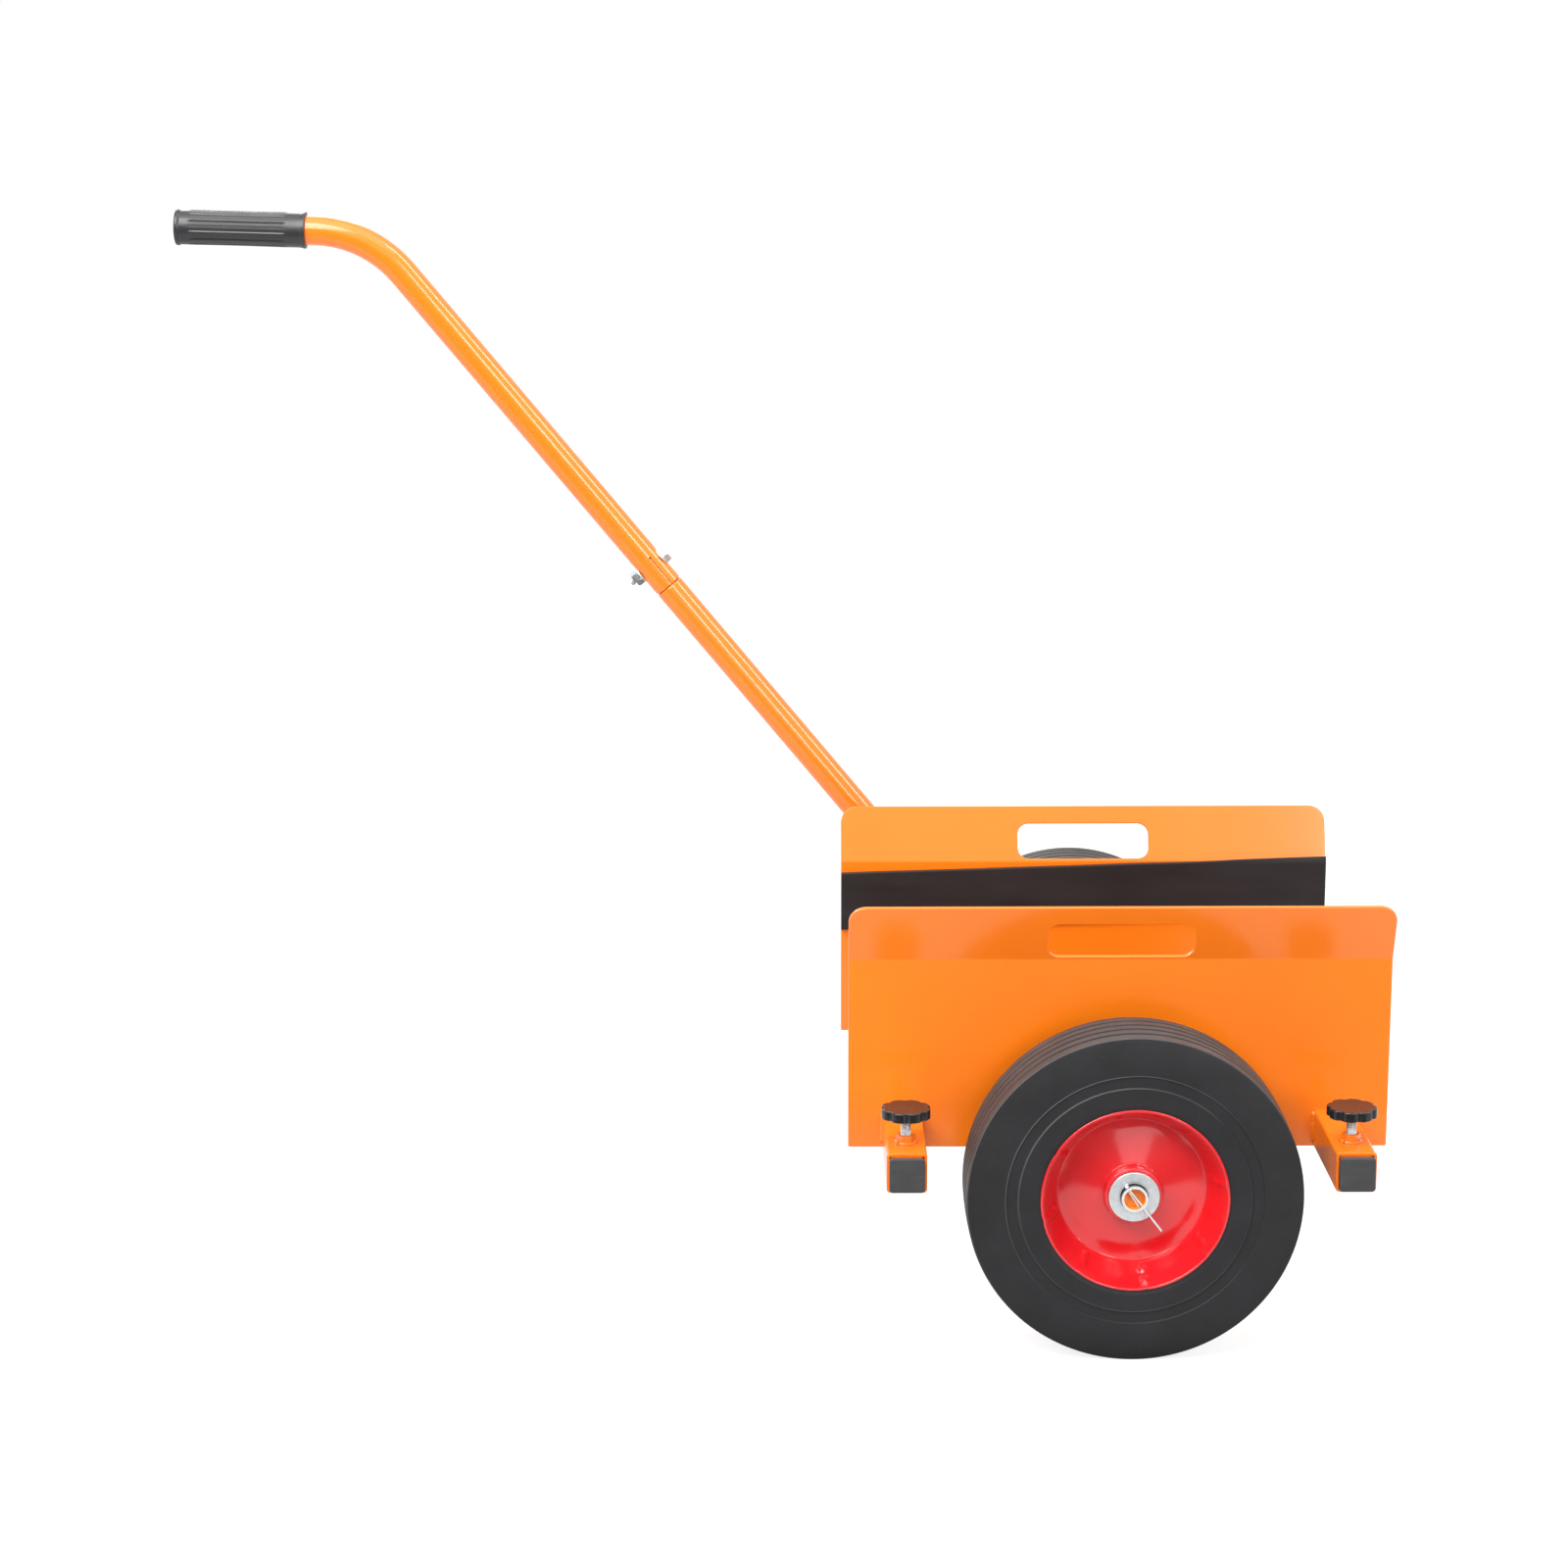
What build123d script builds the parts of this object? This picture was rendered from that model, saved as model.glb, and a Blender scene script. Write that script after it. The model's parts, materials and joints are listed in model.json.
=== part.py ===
"""Panel cart: a two-wheeled cart with a sliding clamp jaw, in millimetres.

The origin lies on the floor under the middle of the axle. +X points away from the handle,
+Y runs along the axle from the moving jaw to the fixed jaw, and +Z points up.
"""
import os
from math import cos, radians, sin, tan

from build123d import *

# Wheels
WHEEL_DIAMETER = 254.0
TYRE_WIDTH = 60.0
SHOULDER_INSET = 2.0  # tread narrower than the tyre, on each side
SHOULDER_RADIUS = 1.0
TREAD_CROWN = 0.5
TREAD_GROOVES = 4
TREAD_GROOVE_WIDTH = 3.4
TREAD_GROOVE_DEPTH = 3.0
SIDEWALL_SWELL = 0.8  # how far the sidewall bows out of the straight line
RING_STEP = 18.25  # rim to the sunken ring in the sidewall
RING_WIDTH = 10.0
RING_DEPTH = 0.9
RIM_DIAMETER = 138.5
RIM_SHEET = 2.0
RIM_CONE = 13.0  # rim edge to crease, on the radius
RIM_CREASE_RADIUS = 5.0
DISH_FACE = 9.0  # outer face of the dish at the hub, from the wheel's middle plane
DISH_SWELL = 0.4
RIM_DENTS = 8
RIM_DENT_RADIUS = 4.0
RIM_DENT_DEPTH = 0.8

# Hub, bearings and axle
AXLE_DIAMETER = 20.0
AXLE_RIM = 2.0  # around the recess in the axle's end
AXLE_RECESS = 7.0
AXLE_END = 5.0  # axle end past the outer washer
HUB_WALL = 3.5  # around a bearing
HUB_LENGTH = 37.0
HUB_EDGE_RADIUS = 1.2
BEARING_SECTION = 8.5  # bore to outside, on the radius
BEARING_WIDTH = 9.0
BEARING_RACE = 2.3  # thickness of either race
BEARING_SHIELD = 0.6
BEARING_BALLS = 9
RACE_STAND_OUT = 0.3  # inner race past the end of the hub
SEAT_SHOULDER = 2.0  # step behind a bearing in the hub
WASHER_RIM = 8.75  # washer's width outside its hole
WASHER_THICKNESS = 2.0
PIN_DIAMETER = 3.2
PIN_SHORT_LEG = 8.0  # legs past the outside of the axle
PIN_LONG_LEG = 23.0
PIN_SPLAY = 2.0  # degrees, each leg
PIN_SLOPE = 55.0  # degrees below the horizontal

# Jaws
PLATE_OVERHANG = 41.5  # plate past the middle of an arm
PLATE_SHEET = 3.0
PLATE_UPRIGHT = 150.0  # lower edge to crease
PLATE_LIFT = 3.0  # lower edges of the plates above the axle beam
PLATE_BEND_RADIUS = 2.0
PLATE_CORNER_RADIUS = 13.5
FLARE_ANGLE = 21.0
HAND_HOLE_LENGTH = 112.0
HAND_HOLE_HEIGHT = 30.5
HAND_HOLE_RADIUS = 9.5
HAND_HOLE_FOOT = 2.5  # crease to hole
HAND_HOLE_MARGIN = 15.0  # hole to the flare's edge
JAW_OPENING = 314.0  # between the inner faces of the plates
JAW_X = -6.0  # middle of the jaws, a little to the handle's side of the axle
JAW_TO_TYRE = 23.0  # moving plate to the near tyre
PAD_HEIGHT = 50.0
PAD_THICKNESS = 4.0
PAD_DROP = 3.0  # crease to the middle of the pad's upper edge
FIXED_PAD_TILT = 1.75  # degrees, glued on a little crooked

# Square tubes
ARM_SIZE = 25.0
ARM_WALL = 2.0
ARM_TO_TYRE = 39.0  # middle of an arm to the tread, with the jaws in line with the axle
SLEEVE_WALL = 2.0
SLEEVE_LENGTH = 107.0
AXLE_BEAM_WALL = 2.0
REAR_BEAM_SETBACK = 67.0  # fixed plate to the rear beam
REAR_BEAM_TO_TYRE = 60.0
TUBE_CORNER_RADIUS = 2.6
PLUG_HEAD = 3.5
PLUG_STEM = 14.0
PLUG_EDGE_RADIUS = 1.0
ARM_STAND_OUT = 3.0  # arm past the sleeve's open end
ARM_PLUG_LIP = 0.7  # plug's head past the arm on each side, a stop for the sleeve

# Clamp knobs
KNOB_DIAMETER = 38.0
KNOB_HEIGHT = 7.5
KNOB_LOBES = 8
KNOB_NOTCH_RADIUS = 4.2
KNOB_NOTCH_DEPTH = 2.0
KNOB_EDGE_RADIUS = 1.0
KNOB_BORE_DEPTH = 5.0
KNOB_FROM_END = 28.0  # stud axis to the sleeve's open end
STUD_DIAMETER = 8.0
STUD_SHOWING = 13.5  # bare stud between the nut and the knob
NUT_RIM = 2.5  # nut or bolt head across flats, past the thread on each side
NUT_HEIGHT = 6.5

# Handle
HANDLE_DIAMETER = 25.0
HANDLE_WALL = 2.0
HANDLE_FOOT_X = -72.0
HANDLE_SLOPE = 50.32
LOWER_RUN = 454.5  # foot to joint
UPPER_RUN = 393.5  # joint to the corner of the bend
GRIP_RUN = 160.0  # corner of the bend to the tube's end
GRIP_TILT = 1.7
HANDLE_BEND_RADIUS = 100.0
NECK_LENGTH = 70.0  # reduced end of the lower tube
NECK_TAPER = 3.0
SLIT_LENGTH = 29.0
SLIT_WIDTH = 0.8
SLIT_END_DIAMETER = 3.0
SLIT_TURN = 22.0  # degrees from facing the moving jaw towards the bolt head
BOLT_DIAMETER = 8.0
BOLT_TIP = 7.7  # bolt past the nut
BOLT_FROM_END = 22.5
BOLT_HEAD_HEIGHT = 5.3
BOLT_SEAT_DEPTH = 1.2  # tube pressed flat under the washers
BOLT_WASHER_RIM = 4.0  # washer past the bolt on each side
BOLT_WASHER_THICKNESS = 1.6
GRIP_LENGTH = 110.5
GRIP_WALL = 2.15
GRIP_FLANGE_HEIGHT = 0.85
GRIP_FLANGE_LENGTH = 3.0
GRIP_CAP = 3.0
GRIP_FLUTES = 12
GRIP_FLUTE_WIDTH = 3.0
GRIP_FLUTE_DEPTH = 0.8
GRIP_BAND_INNER = 16.0  # plain bands at the ends of the flutes
GRIP_BAND_OUTER = 12.0

# Clearances, each on one side
RUNNING = 0.05  # turning fits
SEATED = 0.05  # pieces fixed in or on each other
SLIDING = 0.5  # arm in sleeve, washer on axle, axle in its beam
TIP_CLEARANCE = 0.2  # stud tip above the arm

# Sizes of pieces that fit each other
TREAD_WIDTH = TYRE_WIDTH - 2 * SHOULDER_INSET
RIM_WIDTH = TYRE_WIDTH
RIM_CREASE_DIAMETER = RIM_DIAMETER - 2 * RIM_CONE
RING_INNER_DIAMETER = RIM_DIAMETER + 2 * RING_STEP
RING_OUTER_DIAMETER = RING_INNER_DIAMETER + 2 * RING_WIDTH
BEARING_DIAMETER = AXLE_DIAMETER + 2 * BEARING_SECTION
HUB_DIAMETER = BEARING_DIAMETER + 2 * HUB_WALL
WASHER_BORE = AXLE_DIAMETER + 2 * SLIDING
WASHER_DIAMETER = WASHER_BORE + 2 * WASHER_RIM
SLEEVE_BORE = ARM_SIZE + 2 * SLIDING
SLEEVE_SIZE = SLEEVE_BORE + 2 * SLEEVE_WALL
AXLE_BEAM_SIZE = AXLE_DIAMETER + 2 * SLIDING + 2 * AXLE_BEAM_WALL
ARM_SPACING = WHEEL_DIAMETER + 2 * ARM_TO_TYRE
PLATE_WIDTH = ARM_SPACING + 2 * PLATE_OVERHANG
FLARE_LENGTH = HAND_HOLE_FOOT + HAND_HOLE_HEIGHT + HAND_HOLE_MARGIN
GRIP_DIAMETER = HANDLE_DIAMETER + 2 * GRIP_WALL
GRIP_FLANGE_DIAMETER = GRIP_DIAMETER + 2 * GRIP_FLANGE_HEIGHT
BOLT_WASHER_DIAMETER = BOLT_DIAMETER + 2 * BOLT_WASHER_RIM
BOLT_SEAT = HANDLE_DIAMETER / 2 - BOLT_SEAT_DEPTH  # flat seat's height over the tube's axis
BOLT_LENGTH = 2 * BOLT_SEAT + 2 * BOLT_WASHER_THICKNESS + NUT_HEIGHT + BOLT_TIP

# Heights
AXLE_HEIGHT = WHEEL_DIAMETER / 2
BEAM_TOP = AXLE_HEIGHT + AXLE_BEAM_SIZE / 2
PLATE_BOTTOM = BEAM_TOP + PLATE_LIFT
REAR_BEAM_HEIGHT = BEAM_TOP + SLEEVE_SIZE / 2
REAR_BEAM_TOP = BEAM_TOP + SLEEVE_SIZE
CREASE_HEIGHT = PLATE_BOTTOM + PLATE_UPRIGHT
SLEEVE_TOP = PLATE_BOTTOM + SLEEVE_SIZE
ARM_HEIGHT = PLATE_BOTTOM + SLEEVE_SIZE / 2
ARM_TOP = ARM_HEIGHT + ARM_SIZE / 2
KNOB_BASE = SLEEVE_TOP + NUT_HEIGHT + STUD_SHOWING

# Stations along the axle and across it
REAR_BEAM_REACH = 2 * PLATE_SHEET + JAW_OPENING + REAR_BEAM_SETBACK + SLEEVE_SIZE
WHEEL_TRACK = TYRE_WIDTH + JAW_TO_TYRE + REAR_BEAM_REACH + REAR_BEAM_TO_TYRE
MOVING_JAW_Y = (TYRE_WIDTH - WHEEL_TRACK) / 2 + JAW_TO_TYRE + PLATE_SHEET
FIXED_JAW_Y = MOVING_JAW_Y + JAW_OPENING
REAR_BEAM_FACE_Y = FIXED_JAW_Y + PLATE_SHEET + REAR_BEAM_SETBACK
HANDLE_Y = REAR_BEAM_FACE_Y + SLEEVE_SIZE / 2
SLEEVE_END_Y = MOVING_JAW_Y - PLATE_SHEET - SLEEVE_LENGTH
ARM_END_Y = SLEEVE_END_Y - ARM_STAND_OUT
KNOB_Y = SLEEVE_END_Y + KNOB_FROM_END
LEFT_ARM_X = JAW_X - ARM_SPACING / 2
RIGHT_ARM_X = JAW_X + ARM_SPACING / 2
RACE_FACE = HUB_LENGTH / 2 + RACE_STAND_OUT
WASHER_FACE = RACE_FACE + WASHER_THICKNESS
PIN_STATION = WASHER_FACE + PIN_DIAMETER / 2 + SEATED
AXLE_HALF = WHEEL_TRACK / 2 + WASHER_FACE + AXLE_END
AXLE_BEAM_HALF = WHEEL_TRACK / 2 - WASHER_FACE
NEAR, FAR = -1, 1


def along_x(profile, x_low, x_high):
    """Extrude a profile drawn in (Y, Z) from x_low to x_high."""
    plane = Plane(origin=(x_low, 0, 0), x_dir=(0, 1, 0), z_dir=(1, 0, 0))
    return extrude(plane * profile, amount=x_high - x_low)


def along_y(profile, y_low, y_high):
    """Extrude a profile drawn in (X, Z) from y_low to y_high."""
    plane = Plane(origin=(0, y_high, 0), x_dir=(1, 0, 0), z_dir=(0, -1, 0))
    return extrude(plane * profile, amount=y_high - y_low)


def along_z(profile, z_low, z_high):
    """Extrude a profile drawn in (X, Y) from z_low to z_high."""
    return extrude(Pos(0, 0, z_low) * profile, amount=z_high - z_low)


def spun(profile):
    """Revolve a profile drawn in (axial, radial) about the Y axis."""
    return revolve(Plane.YZ * profile, axis=Axis.Y)


def disc(y_low, y_high, diameter):
    """Plain disc about the Y axis."""
    return along_y(Circle(diameter / 2), y_low, y_high)


def ring(y_low, y_high, bore, diameter):
    """Plain ring about the Y axis."""
    return disc(y_low, y_high, diameter) - disc(y_low, y_high, bore)


def at_wheel(shape, side):
    """Carry a shape from a wheel's own frame, outboard along +Y, to one of the wheels."""
    turn = 0 if side == FAR else 180
    return Pos(0, side * WHEEL_TRACK / 2, AXLE_HEIGHT) * Rot(0, 0, turn) * shape


def tube_profile(size, wall):
    """Square tube section with rounded corners."""
    inner_radius = max(TUBE_CORNER_RADIUS - wall, TUBE_CORNER_RADIUS / 4)
    bore = size - 2 * wall
    return RectangleRounded(size, size, TUBE_CORNER_RADIUS) - RectangleRounded(bore, bore, inner_radius)


def plug(size, wall, lip=0):
    """Square tube plug: head below z = 0, wider than the tube by a lip, and a stem above it."""
    head_size = size + 2 * lip
    head = along_z(RectangleRounded(head_size, head_size, TUBE_CORNER_RADIUS), -PLUG_HEAD, 0)
    head = fillet(head.faces().sort_by(Axis.Z)[0].edges(), PLUG_EDGE_RADIUS)
    stem_size = size - 2 * wall - 2 * SEATED
    stem = along_z(RectangleRounded(stem_size, stem_size, TUBE_CORNER_RADIUS / 4), 0, PLUG_STEM)
    return head + stem


# Wheel pieces, each in the wheel's own frame


def cone_back(axial):
    """Radius of the rim cone's tyre side at a distance from the wheel's middle plane."""
    rise = (RIM_DIAMETER - RIM_CREASE_DIAMETER) / 2
    run = RIM_WIDTH / 2 - RIM_SHEET
    sheet_across = RIM_SHEET * (rise ** 2 + run ** 2) ** 0.5 / run
    return RIM_CREASE_DIAMETER / 2 + sheet_across + (axial - RIM_SHEET) * rise / run


def tyre():
    """Solid rubber tyre with a ribbed tread and a sunken ring in each sidewall."""
    radius = WHEEL_DIAMETER / 2
    half_width = TYRE_WIDTH / 2
    half_tread = TREAD_WIDTH / 2
    half_rim = RIM_WIDTH / 2
    edge = radius - TREAD_CROWN
    outer = RING_OUTER_DIAMETER / 2
    inner = RING_INNER_DIAMETER / 2
    middle_bow = ((half_tread + half_width) / 2 + SIDEWALL_SWELL, (edge + outer) / 2)
    crown = ThreePointArc((0, radius), (half_tread / 2, radius - TREAD_CROWN / 4), (half_tread, edge))
    sidewall = ThreePointArc((half_tread, edge), middle_bow, (half_width, outer))
    seat = Polyline(
        (half_width, outer),
        (half_width - RING_DEPTH, outer - RING_DEPTH),
        (half_width - RING_DEPTH, inner + RING_DEPTH),
        (half_width, inner),
        (half_rim, cone_back(half_rim) + SEATED),
        (0, cone_back(0) + SEATED),
        (0, radius),
    )
    half = make_face([crown, sidewall, seat])
    shoulder = half.vertices().sort_by_distance((half_tread, edge, 0))[0]
    half = fillet(shoulder, SHOULDER_RADIUS)
    profile = half + mirror(half, about=Plane.YZ)
    pitch = TREAD_WIDTH / (TREAD_GROOVES + 1)
    for number in range(TREAD_GROOVES):
        station = (number + 1) * pitch - half_tread
        profile -= Pos(station, radius) * Rectangle(TREAD_GROOVE_WIDTH, 2 * TREAD_GROOVE_DEPTH)
    return spun(profile)


def rim_half():
    """Pressed rim half on the outboard side: cone, dish and the hole for the hub."""
    half_rim = RIM_WIDTH / 2
    crease = RIM_CREASE_DIAMETER / 2
    hub = HUB_DIAMETER / 2 + SEATED
    middle = (crease + hub) / 2
    back = DISH_FACE - RIM_SHEET
    swollen = (RIM_SHEET + DISH_FACE) / 2 + DISH_SWELL
    dish_face = ThreePointArc((RIM_SHEET, crease), (swollen, middle), (DISH_FACE, hub))
    dish_back = ThreePointArc((back, hub), (swollen - RIM_SHEET, middle), (SEATED, cone_back(SEATED)))
    sheet = make_face(
        [
            Line((half_rim, RIM_DIAMETER / 2), (RIM_SHEET, crease)),
            dish_face,
            Line((DISH_FACE, hub), (back, hub)),
            dish_back,
            Line((SEATED, cone_back(SEATED)), (half_rim, cone_back(half_rim))),
            Line((half_rim, cone_back(half_rim)), (half_rim, RIM_DIAMETER / 2)),
        ]
    )
    corner = sheet.vertices().sort_by_distance((RIM_SHEET, crease, 0))[0]
    rim = spun(fillet(corner, RIM_CREASE_RADIUS))
    dent_axial = half_rim * 2 / 3
    dent_radius = cone_back(dent_axial) - RIM_SHEET - RIM_DENT_RADIUS + RIM_DENT_DEPTH
    for number in range(RIM_DENTS):
        turn = Rot(0, (number + 0.5) * 360 / RIM_DENTS, 0)
        rim -= turn * Pos(0, dent_axial, dent_radius) * Sphere(RIM_DENT_RADIUS)
    return rim


def hub():
    """Hub tube with a bearing seat at each end."""
    bore = BEARING_DIAMETER - 2 * SEAT_SHOULDER
    body = ring(-HUB_LENGTH / 2, HUB_LENGTH / 2, bore, HUB_DIAMETER)
    rim_edges = body.edges().filter_by(GeomType.CIRCLE).group_by(SortBy.RADIUS)[-1]
    body = fillet(rim_edges, HUB_EDGE_RADIUS)
    for side in (NEAR, FAR):
        ends = sorted((side * HUB_LENGTH / 2, side * (HUB_LENGTH / 2 - BEARING_WIDTH)))
        body -= disc(ends[0], ends[1], BEARING_DIAMETER + 2 * SEATED)
    return body


def bearing_spans():
    """Axial limits of the two bearings' outer races."""
    inner_end = HUB_LENGTH / 2 - BEARING_WIDTH
    return [(-HUB_LENGTH / 2, -inner_end), (inner_end, HUB_LENGTH / 2)]


def inner_race_diameter():
    return AXLE_DIAMETER + 2 * SEATED + 2 * BEARING_RACE


def outer_races():
    """Outer races of both bearings, each with its two shields."""
    lip = inner_race_diameter() + 4 * RUNNING
    groove = BEARING_DIAMETER - 2 * BEARING_RACE
    races = []
    for low, high in bearing_spans():
        race = ring(low, high, lip, BEARING_DIAMETER)
        race -= disc(low + BEARING_SHIELD, high - BEARING_SHIELD, groove)
        races.append(race)
    return races


def inner_races():
    """Inner races of both bearings, standing a little out of the hub."""
    races = []
    for low, high in bearing_spans():
        low_end = low - RACE_STAND_OUT if low < 0 else low
        high_end = high + RACE_STAND_OUT if high > 0 else high
        races.append(ring(low_end, high_end, AXLE_DIAMETER + 2 * SEATED, inner_race_diameter()))
    return races


def balls():
    """Balls of both bearings."""
    inside = inner_race_diameter() / 2
    outside = BEARING_DIAMETER / 2 - BEARING_RACE
    ball = Sphere((outside - inside) / 2 - RUNNING)
    spheres = []
    for low, high in bearing_spans():
        for number in range(BEARING_BALLS):
            turn = Rot(0, number * 360 / BEARING_BALLS, 0)
            spheres.append(turn * Pos(0, (low + high) / 2, (inside + outside) / 2) * ball)
    return spheres


def wheel_washer(face):
    """Flat washer on the axle, with its outboard face at a station of the wheel."""
    return ring(face - WASHER_THICKNESS, face, WASHER_BORE, WASHER_DIAMETER)


def pin_plane():
    """Frame of a split pin: x along its legs, z outboard, at the wheel's middle axis."""
    slope = radians(PIN_SLOPE)
    return Plane(origin=(0, PIN_STATION, 0), x_dir=(-cos(slope), 0, -sin(slope)), z_dir=(0, 1, 0))


def split_pin():
    """Split pin: two half-round legs of unequal length that meet in a folded head."""
    radius = PIN_DIAMETER / 2
    head = -AXLE_DIAMETER / 2
    folded = Sphere(radius)
    legs = []
    for reach, hand in ((PIN_LONG_LEG, 1), (PIN_SHORT_LEG, -1)):
        half_disc = Circle(radius) & Pos(hand * radius, 0) * Rectangle(2 * radius, 2 * radius)
        leg = along_x(half_disc, 0, reach + AXLE_DIAMETER)
        legs.append(Rot(0, 0, hand * PIN_SPLAY) * leg)
    pin = folded + legs
    return pin_plane().location * Pos(head, 0, 0) * pin


def pin_hole():
    """Cutter for the cross hole that the split pin passes through."""
    spread = PIN_DIAMETER + 2 * AXLE_DIAMETER * tan(radians(PIN_SPLAY))
    bar = along_x(Circle(spread / 2), -AXLE_DIAMETER, AXLE_DIAMETER)
    return pin_plane().location * bar


# Jaw pieces, in a frame with the plate's inner face at Y = 0 and its outer face towards +Y


def bent_layer(inner, outer, width):
    """Layer between two offsets of the jaw's bent line, over the plate's width."""
    lean = radians(FLARE_ANGLE)
    points = []
    for offset, upward in ((inner, True), (outer, False)):
        foot = (offset, PLATE_BOTTOM)
        crease = (offset, CREASE_HEIGHT - offset * tan(lean / 2))
        tip_y = FLARE_LENGTH * sin(lean) + offset * cos(lean)
        tip_z = CREASE_HEIGHT + FLARE_LENGTH * cos(lean) - offset * sin(lean)
        points += [foot, crease, (tip_y, tip_z)] if upward else [(tip_y, tip_z), crease, foot]
    section = make_face(Polyline(*points, close=True))
    for offset, radius in ((inner, PLATE_BEND_RADIUS + outer), (outer, PLATE_BEND_RADIUS)):
        crease = (offset, CREASE_HEIGHT - offset * tan(lean / 2), 0)
        section = fillet(section.vertices().sort_by_distance(crease)[0], radius)
    return along_x(section, -width / 2, width / 2)


def flare_plane():
    """Frame of the flare's inner face: x along the cart, y up the flare, z outward."""
    lean = radians(FLARE_ANGLE)
    return Plane(origin=(0, 0, CREASE_HEIGHT), x_dir=(-1, 0, 0), z_dir=(0, cos(lean), -sin(lean)))


def jaw_plate(arm_hole):
    """Jaw plate with rounded upper corners, a hand hole and two square holes for the arms."""
    plate = bent_layer(0, PLATE_SHEET, PLATE_WIDTH)
    flare = flare_plane()
    across = Axis(flare.origin, flare.z_dir)
    up = Axis(flare.origin, flare.y_dir)
    plate = fillet(plate.edges().filter_by(across).group_by(up)[-1], PLATE_CORNER_RADIUS)
    hole = RectangleRounded(HAND_HOLE_LENGTH, HAND_HOLE_HEIGHT, HAND_HOLE_RADIUS)
    hole_middle = FLARE_LENGTH - HAND_HOLE_MARGIN - HAND_HOLE_HEIGHT / 2
    plate -= extrude(flare * Pos(0, hole_middle) * hole, amount=2 * PLATE_SHEET, both=True)
    for x in (-ARM_SPACING / 2, ARM_SPACING / 2):
        square = Pos(x, ARM_HEIGHT) * RectangleRounded(arm_hole, arm_hole, TUBE_CORNER_RADIUS / 4)
        plate -= along_y(square, -PLATE_SHEET, 2 * PLATE_SHEET)
    return plate


def jaw_pad(tilt):
    """Rubber strip on the inner face, following the plate's bend, level or tilted."""
    layer = bent_layer(-PAD_THICKNESS, 0, PLATE_WIDTH)
    middle_height = CREASE_HEIGHT - PAD_DROP - PAD_HEIGHT / 2
    band = Box(2 * PLATE_WIDTH, 4 * FLARE_LENGTH, PAD_HEIGHT)
    return layer & Pos(0, 0, middle_height) * Rot(0, -tilt, 0) * band


def at_jaw(shape, side):
    """Carry a jaw piece to the fixed jaw (FAR) or, turned round, to the moving jaw (NEAR)."""
    if side == FAR:
        return Pos(JAW_X, FIXED_JAW_Y, 0) * shape
    return Pos(JAW_X, MOVING_JAW_Y, 0) * Rot(0, 0, 180) * shape


# Sleeves, clamp knobs and frame tubes


def sleeve(x):
    """Square sleeve on the moving plate, with a hole for the clamp stud."""
    body = Pos(x, 0, ARM_HEIGHT) * along_y(
        tube_profile(SLEEVE_SIZE, SLEEVE_WALL), SLEEVE_END_Y, MOVING_JAW_Y - PLATE_SHEET
    )
    hole = along_z(Circle(STUD_DIAMETER / 2 + RUNNING), ARM_HEIGHT, SLEEVE_TOP + SLEEVE_WALL)
    return body - Pos(x, KNOB_Y, 0) * hole


def hexagon(thread):
    """Outline of a nut or bolt head for a thread size."""
    return RegularPolygon(thread / 2 + NUT_RIM, 6, major_radius=False)


def hex_nut(thread, clearance):
    """Hexagon nut standing on z = 0."""
    return along_z(hexagon(thread) - Circle(thread / 2 + clearance), 0, NUT_HEIGHT)


def knob(x):
    """Clamp knob with lobes, and a blind bore for its stud."""
    outline = Circle(KNOB_DIAMETER / 2)
    reach = KNOB_DIAMETER / 2 + KNOB_NOTCH_RADIUS - KNOB_NOTCH_DEPTH
    for number in range(KNOB_LOBES):
        outline -= Rot(0, 0, number * 360 / KNOB_LOBES) * Pos(reach, 0) * Circle(KNOB_NOTCH_RADIUS)
    body = along_z(outline, 0, KNOB_HEIGHT)
    body = fillet(body.faces().sort_by(Axis.Z)[-1].edges(), KNOB_EDGE_RADIUS)
    body -= along_z(Circle(STUD_DIAMETER / 2 + SEATED), 0, KNOB_BORE_DEPTH)
    return Pos(x, KNOB_Y, KNOB_BASE) * body


def knob_stud(x):
    """Threaded stud from the knob's bore down to the arm."""
    rod = along_z(Circle(STUD_DIAMETER / 2), ARM_TOP + TIP_CLEARANCE, KNOB_BASE + KNOB_BORE_DEPTH)
    return Pos(x, KNOB_Y, 0) * rod


def arm(x):
    """Square arm from the plug at its free end to the rear beam."""
    section = tube_profile(ARM_SIZE, ARM_WALL)
    return Pos(x, 0, ARM_HEIGHT) * along_y(section, ARM_END_Y, REAR_BEAM_FACE_Y)


def arm_plugs():
    """Plugs in the free ends of both arms, in front of the sleeves."""
    piece = Rot(-90, 0, 0) * plug(ARM_SIZE, ARM_WALL, ARM_PLUG_LIP)
    return [Pos(x, ARM_END_Y, ARM_HEIGHT) * piece for x in (LEFT_ARM_X, RIGHT_ARM_X)]


def rear_beam_ends():
    return LEFT_ARM_X - SLEEVE_SIZE / 2, RIGHT_ARM_X + SLEEVE_SIZE / 2


def rear_beam():
    """Square beam behind the fixed plate, across the arms and over the axle beam."""
    section = Pos(HANDLE_Y, REAR_BEAM_HEIGHT) * tube_profile(SLEEVE_SIZE, SLEEVE_WALL)
    return along_x(section, *rear_beam_ends())


def rear_beam_plugs():
    """Plugs in both ends of the rear beam."""
    piece = plug(SLEEVE_SIZE, SLEEVE_WALL)
    left_end, right_end = rear_beam_ends()
    left = Pos(left_end, HANDLE_Y, REAR_BEAM_HEIGHT) * Rot(0, 90, 0) * piece
    right = Pos(right_end, HANDLE_Y, REAR_BEAM_HEIGHT) * Rot(0, -90, 0) * piece
    return [left, right]


def axle_beam():
    """Square tube around the axle, between the inner washers of the wheels."""
    return Pos(0, 0, AXLE_HEIGHT) * along_y(
        tube_profile(AXLE_BEAM_SIZE, AXLE_BEAM_WALL), -AXLE_BEAM_HALF, AXLE_BEAM_HALF
    )


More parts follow.
